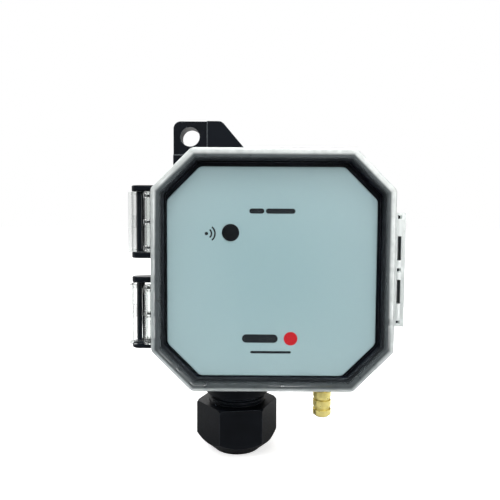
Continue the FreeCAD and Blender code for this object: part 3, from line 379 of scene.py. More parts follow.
def new_material(name: str) -> tuple[bpy.types.Material, NodeGraph]:
    """Makes an empty node material.

    Args:
        name: The material's name.

    Returns:
        The material and its graph, with no output node yet.
    """
    material = bpy.data.materials.new(name)
    material.use_nodes = True
    material.node_tree.nodes.clear()
    return material, NodeGraph(material.node_tree)


def close_graph(graph: NodeGraph, shader: bpy.types.NodeSocket) -> None:
    """Adds the output node that shows a shader."""
    graph.add("ShaderNodeOutputMaterial", Surface=shader)


@dataclass(frozen=True)
class Moulded:
    """An opaque plastic or rubber straight from its mould.

    Attributes:
        name: The material's name.
        colour: Its linear colour.
        roughness: Its middle roughness.
        grain: The size of the mould's texture in millimetres.
        relief: The depth of that texture in millimetres.
        shine: The dielectric specular level.
        drift: How much the colour drifts over the surface, 0 to 1.
        edge: The radius of its rounded edges in millimetres, or 0 for none.
        edge_highlight: The linear colour of the painted highlight on those edges.
        spread: How far the roughness strays from its middle.
        flow: The size of the slow drift in colour and level in millimetres.
        sink: The depth of that drift in millimetres.
        haze: What its pale places gain in colour, so that a black drifts too.
    """

    name: str
    colour: Colour
    roughness: float = 0.42
    grain: float = 0.5
    relief: float = 0.012
    shine: float = 0.4
    drift: float = 0.25
    edge: float = 0.0
    edge_highlight: Colour = (0.26, 0.30, 0.32)
    spread: float = 0.07
    flow: float = 14.0
    sink: float = 0.03
    haze: float = 0.0006

    def build(self) -> bpy.types.Material:
        """Makes the material.

        Returns:
            The material.
        """
        material, graph = new_material(self.name)
        flow = graph.noise(self.flow, detail=3.0)
        grain = graph.noise(self.grain, detail=3.0)
        dark = tuple(value * (1.0 - self.drift) for value in self.colour)
        pale = tuple(min(1.0, value * (1.0 + self.drift) + self.haze) for value in self.colour)
        colour = graph.mixed(graph.ranged(flow, 0.0, 1.0), dark, pale)
        rounded = None
        if self.edge:
            rounded, share = graph.edges_and_highlight(self.edge)
            # Sharp edges get a pale painted highlight.
            colour = graph.mixed(share, colour, self.edge_highlight)
        shader = graph.add(
            "ShaderNodeBsdfPrincipled",
            Base_Color=colour,
            Roughness=graph.ranged(
                grain, self.roughness - self.spread, self.roughness + self.spread
            ),
            IOR=PLASTIC_INDEX,
            Specular_IOR_Level=self.shine,
            Normal=graph.bump(grain, self.relief, graph.bump(flow, self.sink, rounded)),
        )
        close_graph(graph, shader.outputs["BSDF"])
        return material


@dataclass(frozen=True)
class ClearPlastic:
    """A clear moulded plastic with faint flow marks.

    Attributes:
        name: The material's name.
        colour: The tint that light takes in it.
        roughness: How much it blurs what it shows.
        index: Its index of refraction.
        relief: The depth of the flow marks in millimetres.
        flow: The size of the flow marks in millimetres.
        drawn: The factors on the coordinates that draw the flow marks out along Z.
        stray: How far the roughness strays, as a share of itself.
    """

    name: str
    colour: Colour
    roughness: float = 0.04
    index: float = PLASTIC_INDEX
    relief: float = 0.01
    flow: float = 9.0
    drawn: Place = (1.0, 1.0, 0.35)
    stray: float = 0.5

    def build(self) -> bpy.types.Material:
        """Makes the material, which lets lamps shine through.

        Returns:
            The material.
        """
        material, graph = new_material(self.name)
        flow = graph.noise(self.flow, detail=1.0, stretch=self.drawn)
        smoother = self.roughness * (1.0 - self.stray)
        rougher = self.roughness * (1.0 + self.stray)
        clear = graph.add(
            "ShaderNodeBsdfPrincipled",
            Base_Color=self.colour,
            Roughness=graph.ranged(flow, smoother, rougher),
            IOR=self.index,
            Transmission_Weight=1.0,
            Normal=graph.bump(flow, self.relief),
        )
        body = self.clouded(graph, clear.outputs["BSDF"])
        open_to_lamps = graph.add("ShaderNodeBsdfTransparent", Color=self.colour)
        shadow = graph.any_ray(Ray.SHADOW)
        close_graph(graph, graph.blend_shaders(shadow, body, open_to_lamps.outputs["BSDF"]))
        return material

    def clouded(self, graph: NodeGraph, body: bpy.types.NodeSocket) -> bpy.types.NodeSocket:
        """Leaves the plastic clear, for a piece with no cloudy places."""
        return body


@dataclass(frozen=True)
class LidPlastic(ClearPlastic):
    """The lid's clear plastic: milky on its hinge strip, painted light on its front rim, painted
    shade in its deep corners and slit walls.

    Widths are in millimetres outside the lid's octagon, and so below zero on the lid, and depths
    in millimetres along Y.

    Attributes:
        rim: The share of painted light on the front rim, a milky white, 0 to 1.
        rim_width: Where the rim's painted light begins.
        rim_depth: Where it ends behind the lid's front.
        strip: How milky the hinge strip beside the lid looks, 0 to 1.
        strip_start: Where the strip begins along X.
        strip_depth: Where it turns clear behind its front.
        strip_behind: The share of its milk that stays there.
        milk_and_light_low: The milky places' linear colour at the lid's foot and left side.
        milk_and_light_high: Their colour at its top right, paler there by painted light.
        painted_light_span: The height from the least painted light to the most.
        lean: How much of the way right counts as height there.
        thinner: How much narrower the rim's painted light is where it is least.
        thinner_until: The share of painted light at which the rim has its full width.
        mottle: The size of the milk's blotches in millimetres.
        mottle_least: The share of milk that the thinnest blotches keep.
        corner_shade: How strong the painted shade in the inner corner behind the rim is, 0 to 1.
        corner_shade_width: Where the painted shade begins.
        corner_shade_end: Where it ends under the rim.
        slit_shade: How strong the painted shade on the walls of the strip's slits is, 0 to 1.
        slit_shade_edge: How far past a slit's size the painted shade fades out.
        slit_shade_depth: How far behind the strip's front it fades in.
        shade_colour: The linear colour of the painted shade in the corner and on the slit walls.
        gloss: The roughness of the milky places and of the painted shade.
    """

    rim: float = 0.72
    rim_width: Span = Span(-2.7, -1.8)
    rim_depth: Span = Span(-47.9, -46.6)
    strip: float = 0.72
    strip_start: Span = Span(45.1, 45.5)
    strip_depth: Span = Span(-39.2, -37.6)
    strip_behind: float = 0.1
    milk_and_light_low: Colour = (0.42, 0.46, 0.46)
    milk_and_light_high: Colour = (0.80, 0.84, 0.82)
    painted_light_span: Span = Span(-33.0, 57.0)
    lean: float = 0.5
    thinner: float = 0.9
    thinner_until: float = 0.6
    mottle: float = 2.6
    mottle_least: float = 0.78
    corner_shade: float = 0.95
    corner_shade_width: Span = Span(-4.0, -3.2)
    corner_shade_end: Span = Span(-2.2, -1.6)
    slit_shade: float = 0.95
    slit_shade_edge: Span = Span(0.05, 0.15)
    slit_shade_depth: Span = Span(0.05, 0.4)
    shade_colour: Colour = (0.055, 0.066, 0.07)
    gloss: float = 0.35

    def clouded(self, graph: NodeGraph, body: bpy.types.NodeSocket) -> bpy.types.NodeSocket:
        """Lays painted shade, the milky strip and painted light on the rim over the plastic.

        Args:
            graph: The material's graph.
            body: The clear shader.

        Returns:
            The finished shader.
        """
        painted_light_share = self.painted_light_share(graph)
        shaded_slits = self.shaded_slits(graph)
        milky_and_lit, corner = self.lit_rim_and_shaded_corner(graph, painted_light_share)
        milky_and_lit = graph.maths("MAXIMUM", milky_and_lit, graph.maths("SUBTRACT", self.beside(graph), shaded_slits))
        # Painted shade in the inner corner and on the slit walls.
        dark = graph.maths("MAXIMUM", corner, shaded_slits)
        # The milky colour grows paler towards the top right: painted light.
        milk_and_light = graph.mixed(painted_light_share, self.milk_and_light_low, self.milk_and_light_high)
        for share, colour in ((dark, self.shade_colour), (milky_and_lit, milk_and_light)):
            cloudy = graph.add(
                "ShaderNodeBsdfPrincipled", Base_Color=colour, Roughness=self.gloss, IOR=self.index
            )
            body = graph.blend_shaders(share, body, cloudy.outputs["BSDF"])
        return body

    def painted_light_share(self, graph: NodeGraph) -> bpy.types.NodeSocket:
        """Gives the share of painted light on the lid: most at its top right, least at its foot.

        Args:
            graph: The material's graph.

        Returns:
            The value output, 0 to 1.
        """
        x, _, z = graph.position()
        height = graph.maths("ADD", z, graph.maths("MULTIPLY", x, self.lean))
        return graph.ranged(height, 0.0, 1.0, self.painted_light_span)

    def lit_rim_and_shaded_corner(
        self, graph: NodeGraph, painted_light_share: bpy.types.NodeSocket
    ) -> tuple[bpy.types.NodeSocket, bpy.types.NodeSocket]:
        """Finds the lid's front rim, with painted light, and the corner inside it, with painted
        shade.

        Args:
            graph: The material's graph.
            painted_light_share: The share of painted light on the lid.

        Returns:
            The share of painted light on the rim, and the share of painted shade in the corner.
        """
        _, y, _ = graph.position()
        mottle = graph.ranged(graph.noise(self.mottle), self.mottle_least, 1.0)
        front = graph.maths("MULTIPLY", graph.ranged(y, 1.0, 0.0, self.rim_depth), mottle)
        inset = graph.ranged(painted_light_share, -self.thinner, 0.0, Span(0.0, self.thinner_until))
        out = graph.outwards()
        edge = graph.maths("ADD", out, inset)
        # The front rim is painted light, a milky white band.
        rim = graph.maths("MULTIPLY", graph.ranged(edge, 0.0, self.rim, self.rim_width), front)
        # Painted shade in the corner inside the rim.
        inner = graph.maths("MULTIPLY", graph.ranged(out, 0.0, self.corner_shade, self.corner_shade_width), front)
        return rim, graph.maths("MULTIPLY", inner, graph.ranged(edge, 1.0, 0.0, self.corner_shade_end))

    def beside(self, graph: NodeGraph) -> bpy.types.NodeSocket:
        """Finds the hinge strip beside the lid.

        Args:
            graph: The material's graph.

        Returns:
            The share of milky strip, 0 to 1.
        """
        x, y, _ = graph.position()
        face = graph.ranged(y, 1.0, self.strip_behind, self.strip_depth)
        return graph.maths("MULTIPLY", graph.ranged(x, 0.0, self.strip, self.strip_start), face)

    def shaded_slits(self, graph: NodeGraph) -> bpy.types.NodeSocket:
        """Finds the walls of the two long slits in the hinge strip, where shade is painted.

        Args:
            graph: The material's graph.

        Returns:
            The share of painted shade on the walls, 0 to 1.
        """
        x, y, z = graph.position()
        across = graph.maths("ABSOLUTE", graph.maths("SUBTRACT", x, HINGE_X))
        height = graph.maths("SUBTRACT", graph.maths("ABSOLUTE", z), SLIT_MIDDLE)
        near = graph.ranged(across, 1.0, 0.0, self.past(SLIT_HALF_WIDTH, self.slit_shade_edge))
        level = graph.ranged(
            graph.maths("ABSOLUTE", height), 1.0, 0.0, self.past(SLIT_HALF_LENGTH, self.slit_shade_edge)
        )
        # The slit walls get painted shade, stronger deeper behind the strip's front.
        deep = graph.ranged(y, 0.0, self.slit_shade, self.past(-HINGE_FRONT, self.slit_shade_depth))
        return graph.maths("MULTIPLY", graph.maths("MULTIPLY", near, level), deep)

    @staticmethod
    def past(size: float, span: Span) -> Span:
        """Moves a span so that it is measured from a size."""
        return Span(size + span.start, size + span.end)


@dataclass(frozen=True)
class PrintedFilm:
    """A flat label film: satin, with painted shade towards its middle and painted light at its edge.

    Attributes:
        name: The material's name.
        colour: Its linear colour.
        shaded_middle: The factors on its colour in the middle, painted shade.
        lit_edge: The factor on its colour at the edge, painted light.
        spread: How far from the middle in millimetres the one turns into the other.
        cloud: The size of the clouds that blur this in millimetres.
        cloud_least: The least factor of the clouds on that distance.
        cloud_most: The greatest.
        roughness: Its middle roughness.
        stray: How far the roughness strays from its middle.
        satin: The size of its fine texture in millimetres.
        relief: The depth of that texture in millimetres.
        shine: The dielectric specular level.
    """

    name: str
    colour: Colour
    shaded_middle: Colour = (0.90, 0.96, 0.96)
    lit_edge: float = 1.07
    spread: Span = Span(8.0, 50.0)
    cloud: float = 38.0
    cloud_least: float = 0.8
    cloud_most: float = 1.1
    roughness: float = 0.5
    stray: float = 0.06
    satin: float = 0.22
    relief: float = 0.004
    shine: float = 0.3

    def build(self) -> bpy.types.Material:
        """Makes the material.

        Returns:
            The material.
        """
        material, graph = new_material(self.name)
        x, _, z = graph.position()
        squares = graph.maths("ADD", graph.maths("MULTIPLY", x, x), graph.maths("MULTIPLY", z, z))
        blur = graph.ranged(graph.noise(self.cloud), self.cloud_least, self.cloud_most)
        away = graph.maths("MULTIPLY", graph.maths("SQRT", squares), blur)
        satin = graph.noise(self.satin)
        # Painted shade in the middle turns to painted light at the edge.
        deep = tuple(value * share for value, share in zip(self.colour, self.shaded_middle))
        pale = tuple(value * self.lit_edge for value in self.colour)
        shader = graph.add(
            "ShaderNodeBsdfPrincipled",
            Base_Color=graph.mixed(graph.ranged(away, 0.0, 1.0, self.spread), deep, pale),
            Roughness=graph.ranged(
                satin, self.roughness - self.stray, self.roughness + self.stray
            ),
            IOR=PLASTIC_INDEX,
            Specular_IOR_Level=self.shine,
            Normal=graph.bump(satin, self.relief),
        )
        close_graph(graph, shader.outputs["BSDF"])
        return material


@dataclass(frozen=True)
class Metal:
    """A machined or pressed metal.

    Attributes:
        name: The material's name.
        colour: Its linear colour.
        tarnish: The colour of its dull patches.
        roughness: Its middle roughness.
        rings: The pitch of the tool's rings along Z in millimetres, or 0 for none.
        metal: How fully it mirrors, 0 to 1, the rest being its dull skin.
        patch: The size of its dull patches in millimetres.
        scuff: The size of its fine marks in millimetres.
        relief: The depth of its marks in millimetres.
        around: The factors on the coordinates that draw the marks out into rings.
        dullest: The share of tarnish in its dullest patches.
        polish: How much less rough than its middle the brightest patches are.
        scrub: How much rougher the dullest are.
    """

    name: str
    colour: Colour
    tarnish: Colour
    roughness: float = 0.28
    rings: float = 0.0
    metal: float = 1.0
    patch: float = 3.0
    scuff: float = 0.4
    relief: float = 0.006
    around: Place = (0.02, 0.02, 1.0)
    dullest: float = 0.6
    polish: float = 0.06
    scrub: float = 0.12

    def build(self) -> bpy.types.Material:
        """Makes the material.

        Returns:
            The material.
        """
        material, graph = new_material(self.name)
        patches = graph.noise(self.patch, detail=3.0)
        marks = graph.noise(self.scuff)
        if self.rings:
            marks = graph.noise(self.rings, detail=1.0, stretch=self.around)
        tarnished = graph.ranged(patches, 0.0, self.dullest)
        shader = graph.add(
            "ShaderNodeBsdfPrincipled",
            Base_Color=graph.mixed(tarnished, self.colour, self.tarnish),
            Metallic=self.metal,
            Roughness=graph.ranged(
                patches, self.roughness - self.polish, self.roughness + self.scrub
            ),
            Normal=graph.bump(marks, self.relief),
        )
        close_graph(graph, shader.outputs["BSDF"])
        return material


@dataclass(frozen=True)
class Laminate:
    """A circuit board's solder mask over its copper.

    Attributes:
        name: The material's name.
        mask: The mask's linear colour on bare laminate.
        over_copper: Its colour where copper lies under it.
        area: The size of a copper area in millimetres.
        edge: Where an area ends, as a share of its size.
        step: The height of the copper in millimetres.
        weave: The size of the laminate's weave in millimetres.
        relief: The depth of the weave in millimetres.
        disorder: How far the areas stray from an even grid, 0 to 1.
        smoothest: The mask's least roughness.
        roughest: Its greatest.
    """

    name: str
    mask: Colour
    over_copper: Colour
    area: float = 2.4
    edge: Span = Span(0.30, 0.33)
    step: float = 0.03
    weave: float = 0.5
    relief: float = 0.01
    disorder: float = 0.8
    smoothest: float = 0.25
    roughest: float = 0.4

    def build(self) -> bpy.types.Material:
        """Makes the material, with square-cornered copper areas a few millimetres across.

        Returns:
            The material.
        """
        material, graph = new_material(self.name)
        cells = graph.add(
            "ShaderNodeTexVoronoi",
            Vector=graph.place(),
            Scale=1.0 / (self.area * MM),
            Randomness=self.disorder,
        )
        cells.distance = "CHEBYCHEV"
        copper = graph.ranged(cells.outputs["Distance"], 0.0, 1.0, self.edge)
        weave = graph.noise(self.weave, detail=1.0)
        shader = graph.add(
            "ShaderNodeBsdfPrincipled",
            Base_Color=graph.mixed(copper, self.over_copper, self.mask),
            Roughness=graph.ranged(weave, self.smoothest, self.roughest),
            IOR=PLASTIC_INDEX,
            Normal=graph.bump(copper, self.step, graph.bump(weave, self.relief)),
        )
        close_graph(graph, shader.outputs["BSDF"])
        return material


BLACK_ABS = Moulded(
    "black_abs", linear(8, 14, 22), roughness=0.42, grain=0.45, relief=0.010, shine=0.18, edge=0.3
)
CLEAR_PC = ClearPlastic("clear_polycarbonate", (0.88, 0.90, 0.89), roughness=0.08, relief=0.004)
LID_PC = LidPlastic("lid_polycarbonate", (0.94, 0.95, 0.95))
BLACK_RUBBER = Moulded(
    "black_rubber", linear(32, 35, 39), roughness=0.75, grain=0.8, relief=0.02, shine=0.12
)
BLACK_PIN = Moulded(
    "black_pin", linear(22, 26, 26), roughness=0.5, grain=0.4, relief=0.006, shine=0.15
)
GREY_OVERLAY = PrintedFilm("grey_overlay", linear(166, 189, 193))
BUTTON_PLASTIC = Moulded("button_plastic", linear(18, 21, 24), roughness=0.5, grain=0.35, shine=0.12)
COMPONENT_PLASTIC = Moulded(
    "component_plastic", linear(30, 30, 32), roughness=0.5, grain=0.3, relief=0.01
)
PLUNGER_PLASTIC = Moulded(
    "switch_plunger_plastic", linear(40, 40, 42), roughness=0.4, grain=0.3, relief=0.006
)
BOARD_LAMINATE = Laminate("board_laminate", linear(18, 66, 42), linear(34, 96, 58))
STEEL_SCREW = Metal("steel_screw", (0.60, 0.60, 0.59), (0.44, 0.43, 0.41), roughness=0.3)
SENSOR_PLASTIC = Moulded(
    "sensor_plastic", linear(216, 214, 206), roughness=0.45, grain=0.4, relief=0.01, drift=0.04
)
SILICONE_HOSE = Moulded(
    "silicone_hose", linear(206, 208, 204), roughness=0.5, grain=1.2, relief=0.02, drift=0.05
)
TERMINAL_PLASTIC = Moulded(
    "terminal_plastic", linear(46, 116, 70), grain=0.4, relief=0.01, drift=0.08
)
SLIDER_PLASTIC = Moulded(
    "slider_plastic", linear(222, 221, 214), grain=0.3, relief=0.006, drift=0.04
)
SHIELD_CAN = Metal("shield_can", (0.66, 0.66, 0.65), (0.55, 0.55, 0.53), roughness=0.33)
CAPACITOR_CAN = Metal("capacitor_can", (0.70, 0.71, 0.72), (0.60, 0.60, 0.60), roughness=0.24)
BLACK_NYLON = Moulded(
    "black_nylon", linear(9, 12, 17), grain=0.6, shine=0.08, edge=0.35, edge_highlight=(0.06, 0.07, 0.08)
)
BRASS_TURNED = Metal(
    "brass_turned", (1.0, 0.88, 0.32), (0.93, 0.76, 0.24), roughness=0.32, rings=0.25, metal=0.7
)
DARK_INK = Moulded(
    "dark_ink", linear(30, 34, 38), roughness=0.6, grain=0.15, relief=0.002, shine=0.2, drift=0.1
)
RED_INK = Moulded(
    "red_ink", linear(196, 32, 42), roughness=0.6, grain=0.15, relief=0.002, shine=0.2, drift=0.08
)

FINISHES = (
    BLACK_ABS,
    CLEAR_PC,
    LID_PC,
    BLACK_RUBBER,
    BLACK_PIN,
    GREY_OVERLAY,
    BUTTON_PLASTIC,
    COMPONENT_PLASTIC,
    PLUNGER_PLASTIC,
    BOARD_LAMINATE,
    STEEL_SCREW,
    SENSOR_PLASTIC,
    SILICONE_HOSE,
    TERMINAL_PLASTIC,
    SLIDER_PLASTIC,
    SHIELD_CAN,
    CAPACITOR_CAN,
    BLACK_NYLON,
    BRASS_TURNED,
    DARK_INK,
    RED_INK,
)


@dataclass
class Paint:
    """The finished materials by name, and the calls that put them on pieces.

    Attributes:
        own: The nodes whose finish differs from their slot's, and that finish.
        made: The materials built.
    """

    own: dict[str, str] = field(default_factory=lambda: {"lid": LID_PC.name})
    made: dict[str, bpy.types.Material] = field(default_factory=dict)

    def build(self) -> None:
        """Builds every finish once."""
        for finish in FINISHES:
            self.made[finish.name] = finish.build()
        LOG.info("%d finishes", len(self.made))

    def dress_nodes(self) -> None:
        """Gives each carried-over node the finish of its material slot."""
        for name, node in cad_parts.items():
            for place in node.material_slots:
                slot = place.material.name.split(".")[0]
                place.material = self.made[self.own.get(name, slot)]
            LOG.info("%s dressed", name)

    def coat(self, piece: bpy.types.Object, finish: str) -> None:
        """Gives a new piece one finish, found by its name."""
        piece.data.materials.clear()
        piece.data.materials.append(self.made[finish])


def object_from_grid(
    name: str, points: np.ndarray, closed_u: bool, closed_v: bool, caps: bool = False
) -> bpy.types.Object:
    """Builds a mesh object from a grid of points on a surface.

    Args:
        name: The object's name.
        points: An array of shape (rows, columns, 3) in metres.
        closed_u: Whether the last column joins the first.
        closed_v: Whether the last row joins the first.
        caps: Whether the first and last row are closed by one face each.

    Returns:
        The object, linked to the scene.
    """
    rows, columns = points.shape[:2]
    index = np.arange(rows * columns).reshape(rows, columns)
    if closed_u:
        index = np.concatenate([index, index[:, :1]], axis=1)
    if closed_v:
        index = np.concatenate([index, index[:1]], axis=0)
    corners = (index[:-1, :-1], index[:-1, 1:], index[1:, 1:], index[1:, :-1])
    faces = np.stack([corner.ravel() for corner in corners], axis=1).tolist()
    if caps:
        faces.append(np.arange(columns)[::-1].tolist())
        faces.append((np.arange(columns) + (rows - 1) * columns).tolist())
    mesh = bpy.data.meshes.new(name)
    mesh.from_pydata(points.reshape(-1, 3).tolist(), [], faces)
    mesh.validate()
    piece = bpy.data.objects.new(name, mesh)
    bpy.context.scene.collection.objects.link(piece)
    return piece


def shade(piece: bpy.types.Object, degrees: float = 35.0) -> None:
    """Shades a piece smooth, with sharp edges past an angle."""
    piece.data.shade_smooth()
    piece.data.set_sharp_from_angle(angle=math.radians(degrees))


def octagon_ring(half: float, depth: float, corner: float, steps: int = 6) -> np.ndarray:
    """Gives points round the case's octagon at one depth.

    The octagon is first drawn smaller by the corner's radius, with its slanting sides kept the same
    distance in. Each of its eight corners then becomes an arc of that radius, which turns 45 degrees
    from the face before it to the face after it.

    Args:
        half: Half the octagon's width.
        depth: How far in front of the wall it lies.
        corner: The radius of its corners.
        steps: The number of points on each corner.

    Returns:
        An array of shape (points, 3) in millimetres, going round from the right side upwards.
    """
    small = half - corner
    leg = LID_LEG - LEG_PER_OFFSET * (LID_HALF - small)
    first = np.array([[small, small - leg], [small - leg, small]])
    quarter = np.radians(np.repeat(np.arange(4) * 90.0, 2))
    start = np.tile(first, (4, 1))
    x = start[:, 0] * np.cos(quarter) - start[:, 1] * np.sin(quarter)
    z = start[:, 0] * np.sin(quarter) + start[:, 1] * np.cos(quarter)
    turn = np.radians(45.0 * np.arange(8)[:, None] + np.linspace(0.0, 45.0, steps)[None, :])
    across = (x[:, None] + corner * np.cos(turn)).ravel()
    up = (z[:, None] + corner * np.sin(turn)).ravel()
    return np.stack([across, np.full_like(across, -depth), up], axis=1)


@dataclass
class LipGasket:
    """The soft ring between the base's rim and the lid, with a lip that reaches the lid's wall.

    Attributes:
        paint: The materials.
        profile: The ring's section as half widths and depths, from the rim outwards.
        corner: The radius that its corners would have at the lid's outside.
        corner_loss: How much smaller they are for each millimetre further in.
        least_corner: Their smallest radius.
        crisp: The angle in degrees past which its edges stay sharp.
    """

    paint: Paint
    profile: tuple[tuple[float, float], ...] = (
        (41.80, 46.00),
        (41.84, 46.35),
        (42.10, 46.66),
        (42.62, 46.84),
        (42.82, 47.05),
        (42.84, 47.42),
        (42.64, 47.66),
        (42.05, 47.74),
        (41.10, 47.75),
        (40.55, 47.72),
        (40.36, 47.55),
        (40.30, 47.20),
        (40.30, 46.00),
    )
    corner: float = 2.5
    corner_loss: float = 0.25
    least_corner: float = 0.8
    crisp: float = 60.0

    def build(self) -> None:
        """Sweeps the section round the octagon."""
        rows = [octagon_ring(half, depth, self.corner_at(half)) for half, depth in self.profile]
        piece = object_from_grid("gasket_lip", np.array(rows) * MM, True, True)
        shade(piece, self.crisp)
        self.paint.coat(piece, BLACK_RUBBER.name)
        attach(piece, HOUSING)
        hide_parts("lid_gasket")
        LOG.info("gasket swept")

    def corner_at(self, half: float) -> float:
        """Gives the radius of the ring's corners at a half width."""
        return max(self.corner - self.corner_loss * (LID_HALF - half), self.least_corner)


@dataclass(frozen=True)
class Bar:
    """A printed bar with round ends, or a dot where it is as wide as it is high.

    Attributes:
        name: The piece's name.
        x: Its middle's distance right of the case's centre in millimetres.
        z: Its middle's distance above the centre.
        width: Its width.
        height: Its height.
        finish: Its ink.
    """

    name: str
    x: float
    z: float
    width: float
    height: float
    finish: Moulded = DARK_INK


SIGNAL_DOT = Bar("print_signal_dot", x=-24.8, z=13.6, width=1.3, height=1.3)


@dataclass
class PanelPrint:
    """The plain printed shapes on the face plate.

    Attributes:
        paint: The materials.
        bars: The bars and dots.
        front: The depth of the plate's front.
        ink: The thickness of the print.
        arc_radii: The middle radii of the arcs round the signal dot.
        arc_reach: How far each arc runs up and down from the level line, in degrees.
        arc_half: Half the width of an arc's band.
    """

    paint: Paint
    bars: tuple[Bar, ...] = (
        Bar("print_title_left", x=-6.05, z=22.1, width=5.6, height=1.9),
        Bar("print_title_right", x=2.85, z=22.1, width=11.0, height=1.9),
        Bar("print_badge_bar", x=-4.6, z=-25.9, width=13.5, height=3.2),
        Bar("print_badge_dot", x=7.0, z=-25.9, width=5.2, height=5.2, finish=RED_INK),
        Bar("print_rule", x=-0.5, z=-31.1, width=15.4, height=0.9),
        SIGNAL_DOT,
    )
    front: float = 44.5
    ink: float = 0.03
    arc_radii: tuple[float, ...] = (1.9, 3.2)
    arc_reach: float = 50.0
    arc_half: float = 0.3

    def build(self) -> None:
        """Lays down each shape."""
        for bar in self.bars:
            self.lay_bar(bar)
        for number, radius in enumerate(self.arc_radii):
            self.lay_arc(f"print_signal_arc_{number + 1}", radius)

    def lay_bar(self, bar: Bar, steps: int = 48) -> None:
        """Prints a bar with fully rounded ends.

        The outline is a half circle of half the height at each end, moved out by half of what is
        left of the width. It is laid down twice, at the plate and one ink thickness in front.

        Args:
            bar: The bar.
            steps: The number of points round it.
        """
        turn = np.linspace(0.0, 2.0 * math.pi, steps, endpoint=False) + math.pi / steps
        reach = (bar.width - bar.height) / 2.0
        across = bar.height / 2.0 * np.cos(turn) + reach * np.sign(np.cos(turn))
        up = bar.height / 2.0 * np.sin(turn)
        rows = [
            np.stack([bar.x + across, np.full_like(turn, depth), bar.z + up], axis=1)
            for depth in (-self.front, -self.front - self.ink)
        ]
        piece = object_from_grid(bar.name, np.array(rows) * MM, True, False, True)
        self.finished(piece, bar.finish)

    def lay_arc(self, name: str, radius: float, steps: int = 25) -> None:
        """Prints one arc of the wireless sign, to the right of its dot.

        The band lies between two radii round the sign's dot and runs the same way up and down
        from the level line. Its four edges are carried along the arc as a closed tube.

        Args:
            name: The piece's name.
            radius: Its middle radius.
            steps: The number of points along it.
        """
        turn = np.radians(np.linspace(-self.arc_reach, self.arc_reach, steps))
        half = self.arc_half
        edges = ((-half, 0.0), (half, 0.0), (half, self.ink), (-half, self.ink))
        rings = [
            np.stack(
                [
                    SIGNAL_DOT.x + (radius + out) * np.cos(turn),
                    np.full_like(turn, -self.front - proud),
                    SIGNAL_DOT.z + (radius + out) * np.sin(turn),
                ],
                axis=1,
            )
            for out, proud in edges
        ]
        points = np.array(rings).transpose(1, 0, 2) * MM
        self.finished(object_from_grid(name, points, True, False, True), DARK_INK)

    def finished(self, piece: bpy.types.Object, finish: Moulded) -> None:
        """Paints a printed shape and lets it ride on the housing.

        Args:
            piece: The piece.
            finish: Its ink.
        """
        shade(piece)
        self.paint.coat(piece, finish.name)
        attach(piece, HOUSING)
        LOG.info("%s printed", piece.name)


@dataclass(frozen=True)
class Viewpoint:
    """The photograph's camera.

    Attributes:
        place: Its place in millimetres.
        yaw: Its turn to the right in degrees.
        pitch: Its tilt upwards in degrees.
        roll: Its roll in degrees.
        lens: Its focal length on the sensor in millimetres.
        sensor: The sensor's width in millimetres.
        nearest: The nearest distance that it shows, in metres.
        furthest: The furthest.
    """

    place: Place = (-8.45, -233.97, 18.43)
    yaw: float = -0.016
    pitch: float = -3.299
    roll: float = 0.353
    lens: float = 36.43
    sensor: float = 36.0
    nearest: float = 0.01
    furthest: float = 20.0

    def build(self) -> None:
        """Makes the camera and hands it to the scene."""
        yaw, pitch, roll = (math.radians(turn) for turn in (self.yaw, self.pitch, self.roll))
        ahead = Vector(
            (math.sin(yaw) * math.cos(pitch), math.cos(yaw) * math.cos(pitch), math.sin(pitch))
        )
        level = ahead.cross(Vector((0.0, 0.0, 1.0))).normalized()
        above = level.cross(ahead)
        right = math.cos(roll) * level + math.sin(roll) * above
        up = -math.sin(roll) * level + math.cos(roll) * above
        data = bpy.data.cameras.new("viewpoint")
        data.sensor_width = self.sensor
        data.lens = self.lens
        data.clip_start = self.nearest
        data.clip_end = self.furthest
        camera = bpy.data.objects.new("viewpoint", data)
        turn = Matrix((right, up, -ahead)).transposed().to_4x4()
        camera.matrix_world = Matrix.Translation(Vector(self.place) * MM) @ turn
        bpy.context.scene.collection.objects.link(camera)
        bpy.context.scene.camera = camera
        LOG.info("camera placed")


@dataclass(frozen=True)
class Softbox:
    """An area lamp aimed at the case.

    Attributes:
        name: Its name.
        place: Its place in metres.
        power: Its power in watts.
        width: Its width in metres.
        height: Its height in metres.
        target: The point that it faces, in metres.
    """

    name: str
    place: Place
    power: float
    width: float
    height: float
    target: Place = (0.0, -0.03, 0.0)

    def build(self) -> None:
        """Hangs the lamp and turns it to the case."""
        data = bpy.data.lights.new(self.name, "AREA")
        data.shape = "RECTANGLE"
        data.size = self.width
        data.size_y = self.height
        data.energy = self.power
        lamp = bpy.data.objects.new(self.name, data)
        place = Vector(self.place)
        aim = (Vector(self.target) - place).to_track_quat("-Z", "Y")
        lamp.matrix_world = Matrix.Translation(place) @ aim.to_matrix().to_4x4()
        bpy.context.scene.collection.objects.link(lamp)
        LOG.info("%s hung", self.name)


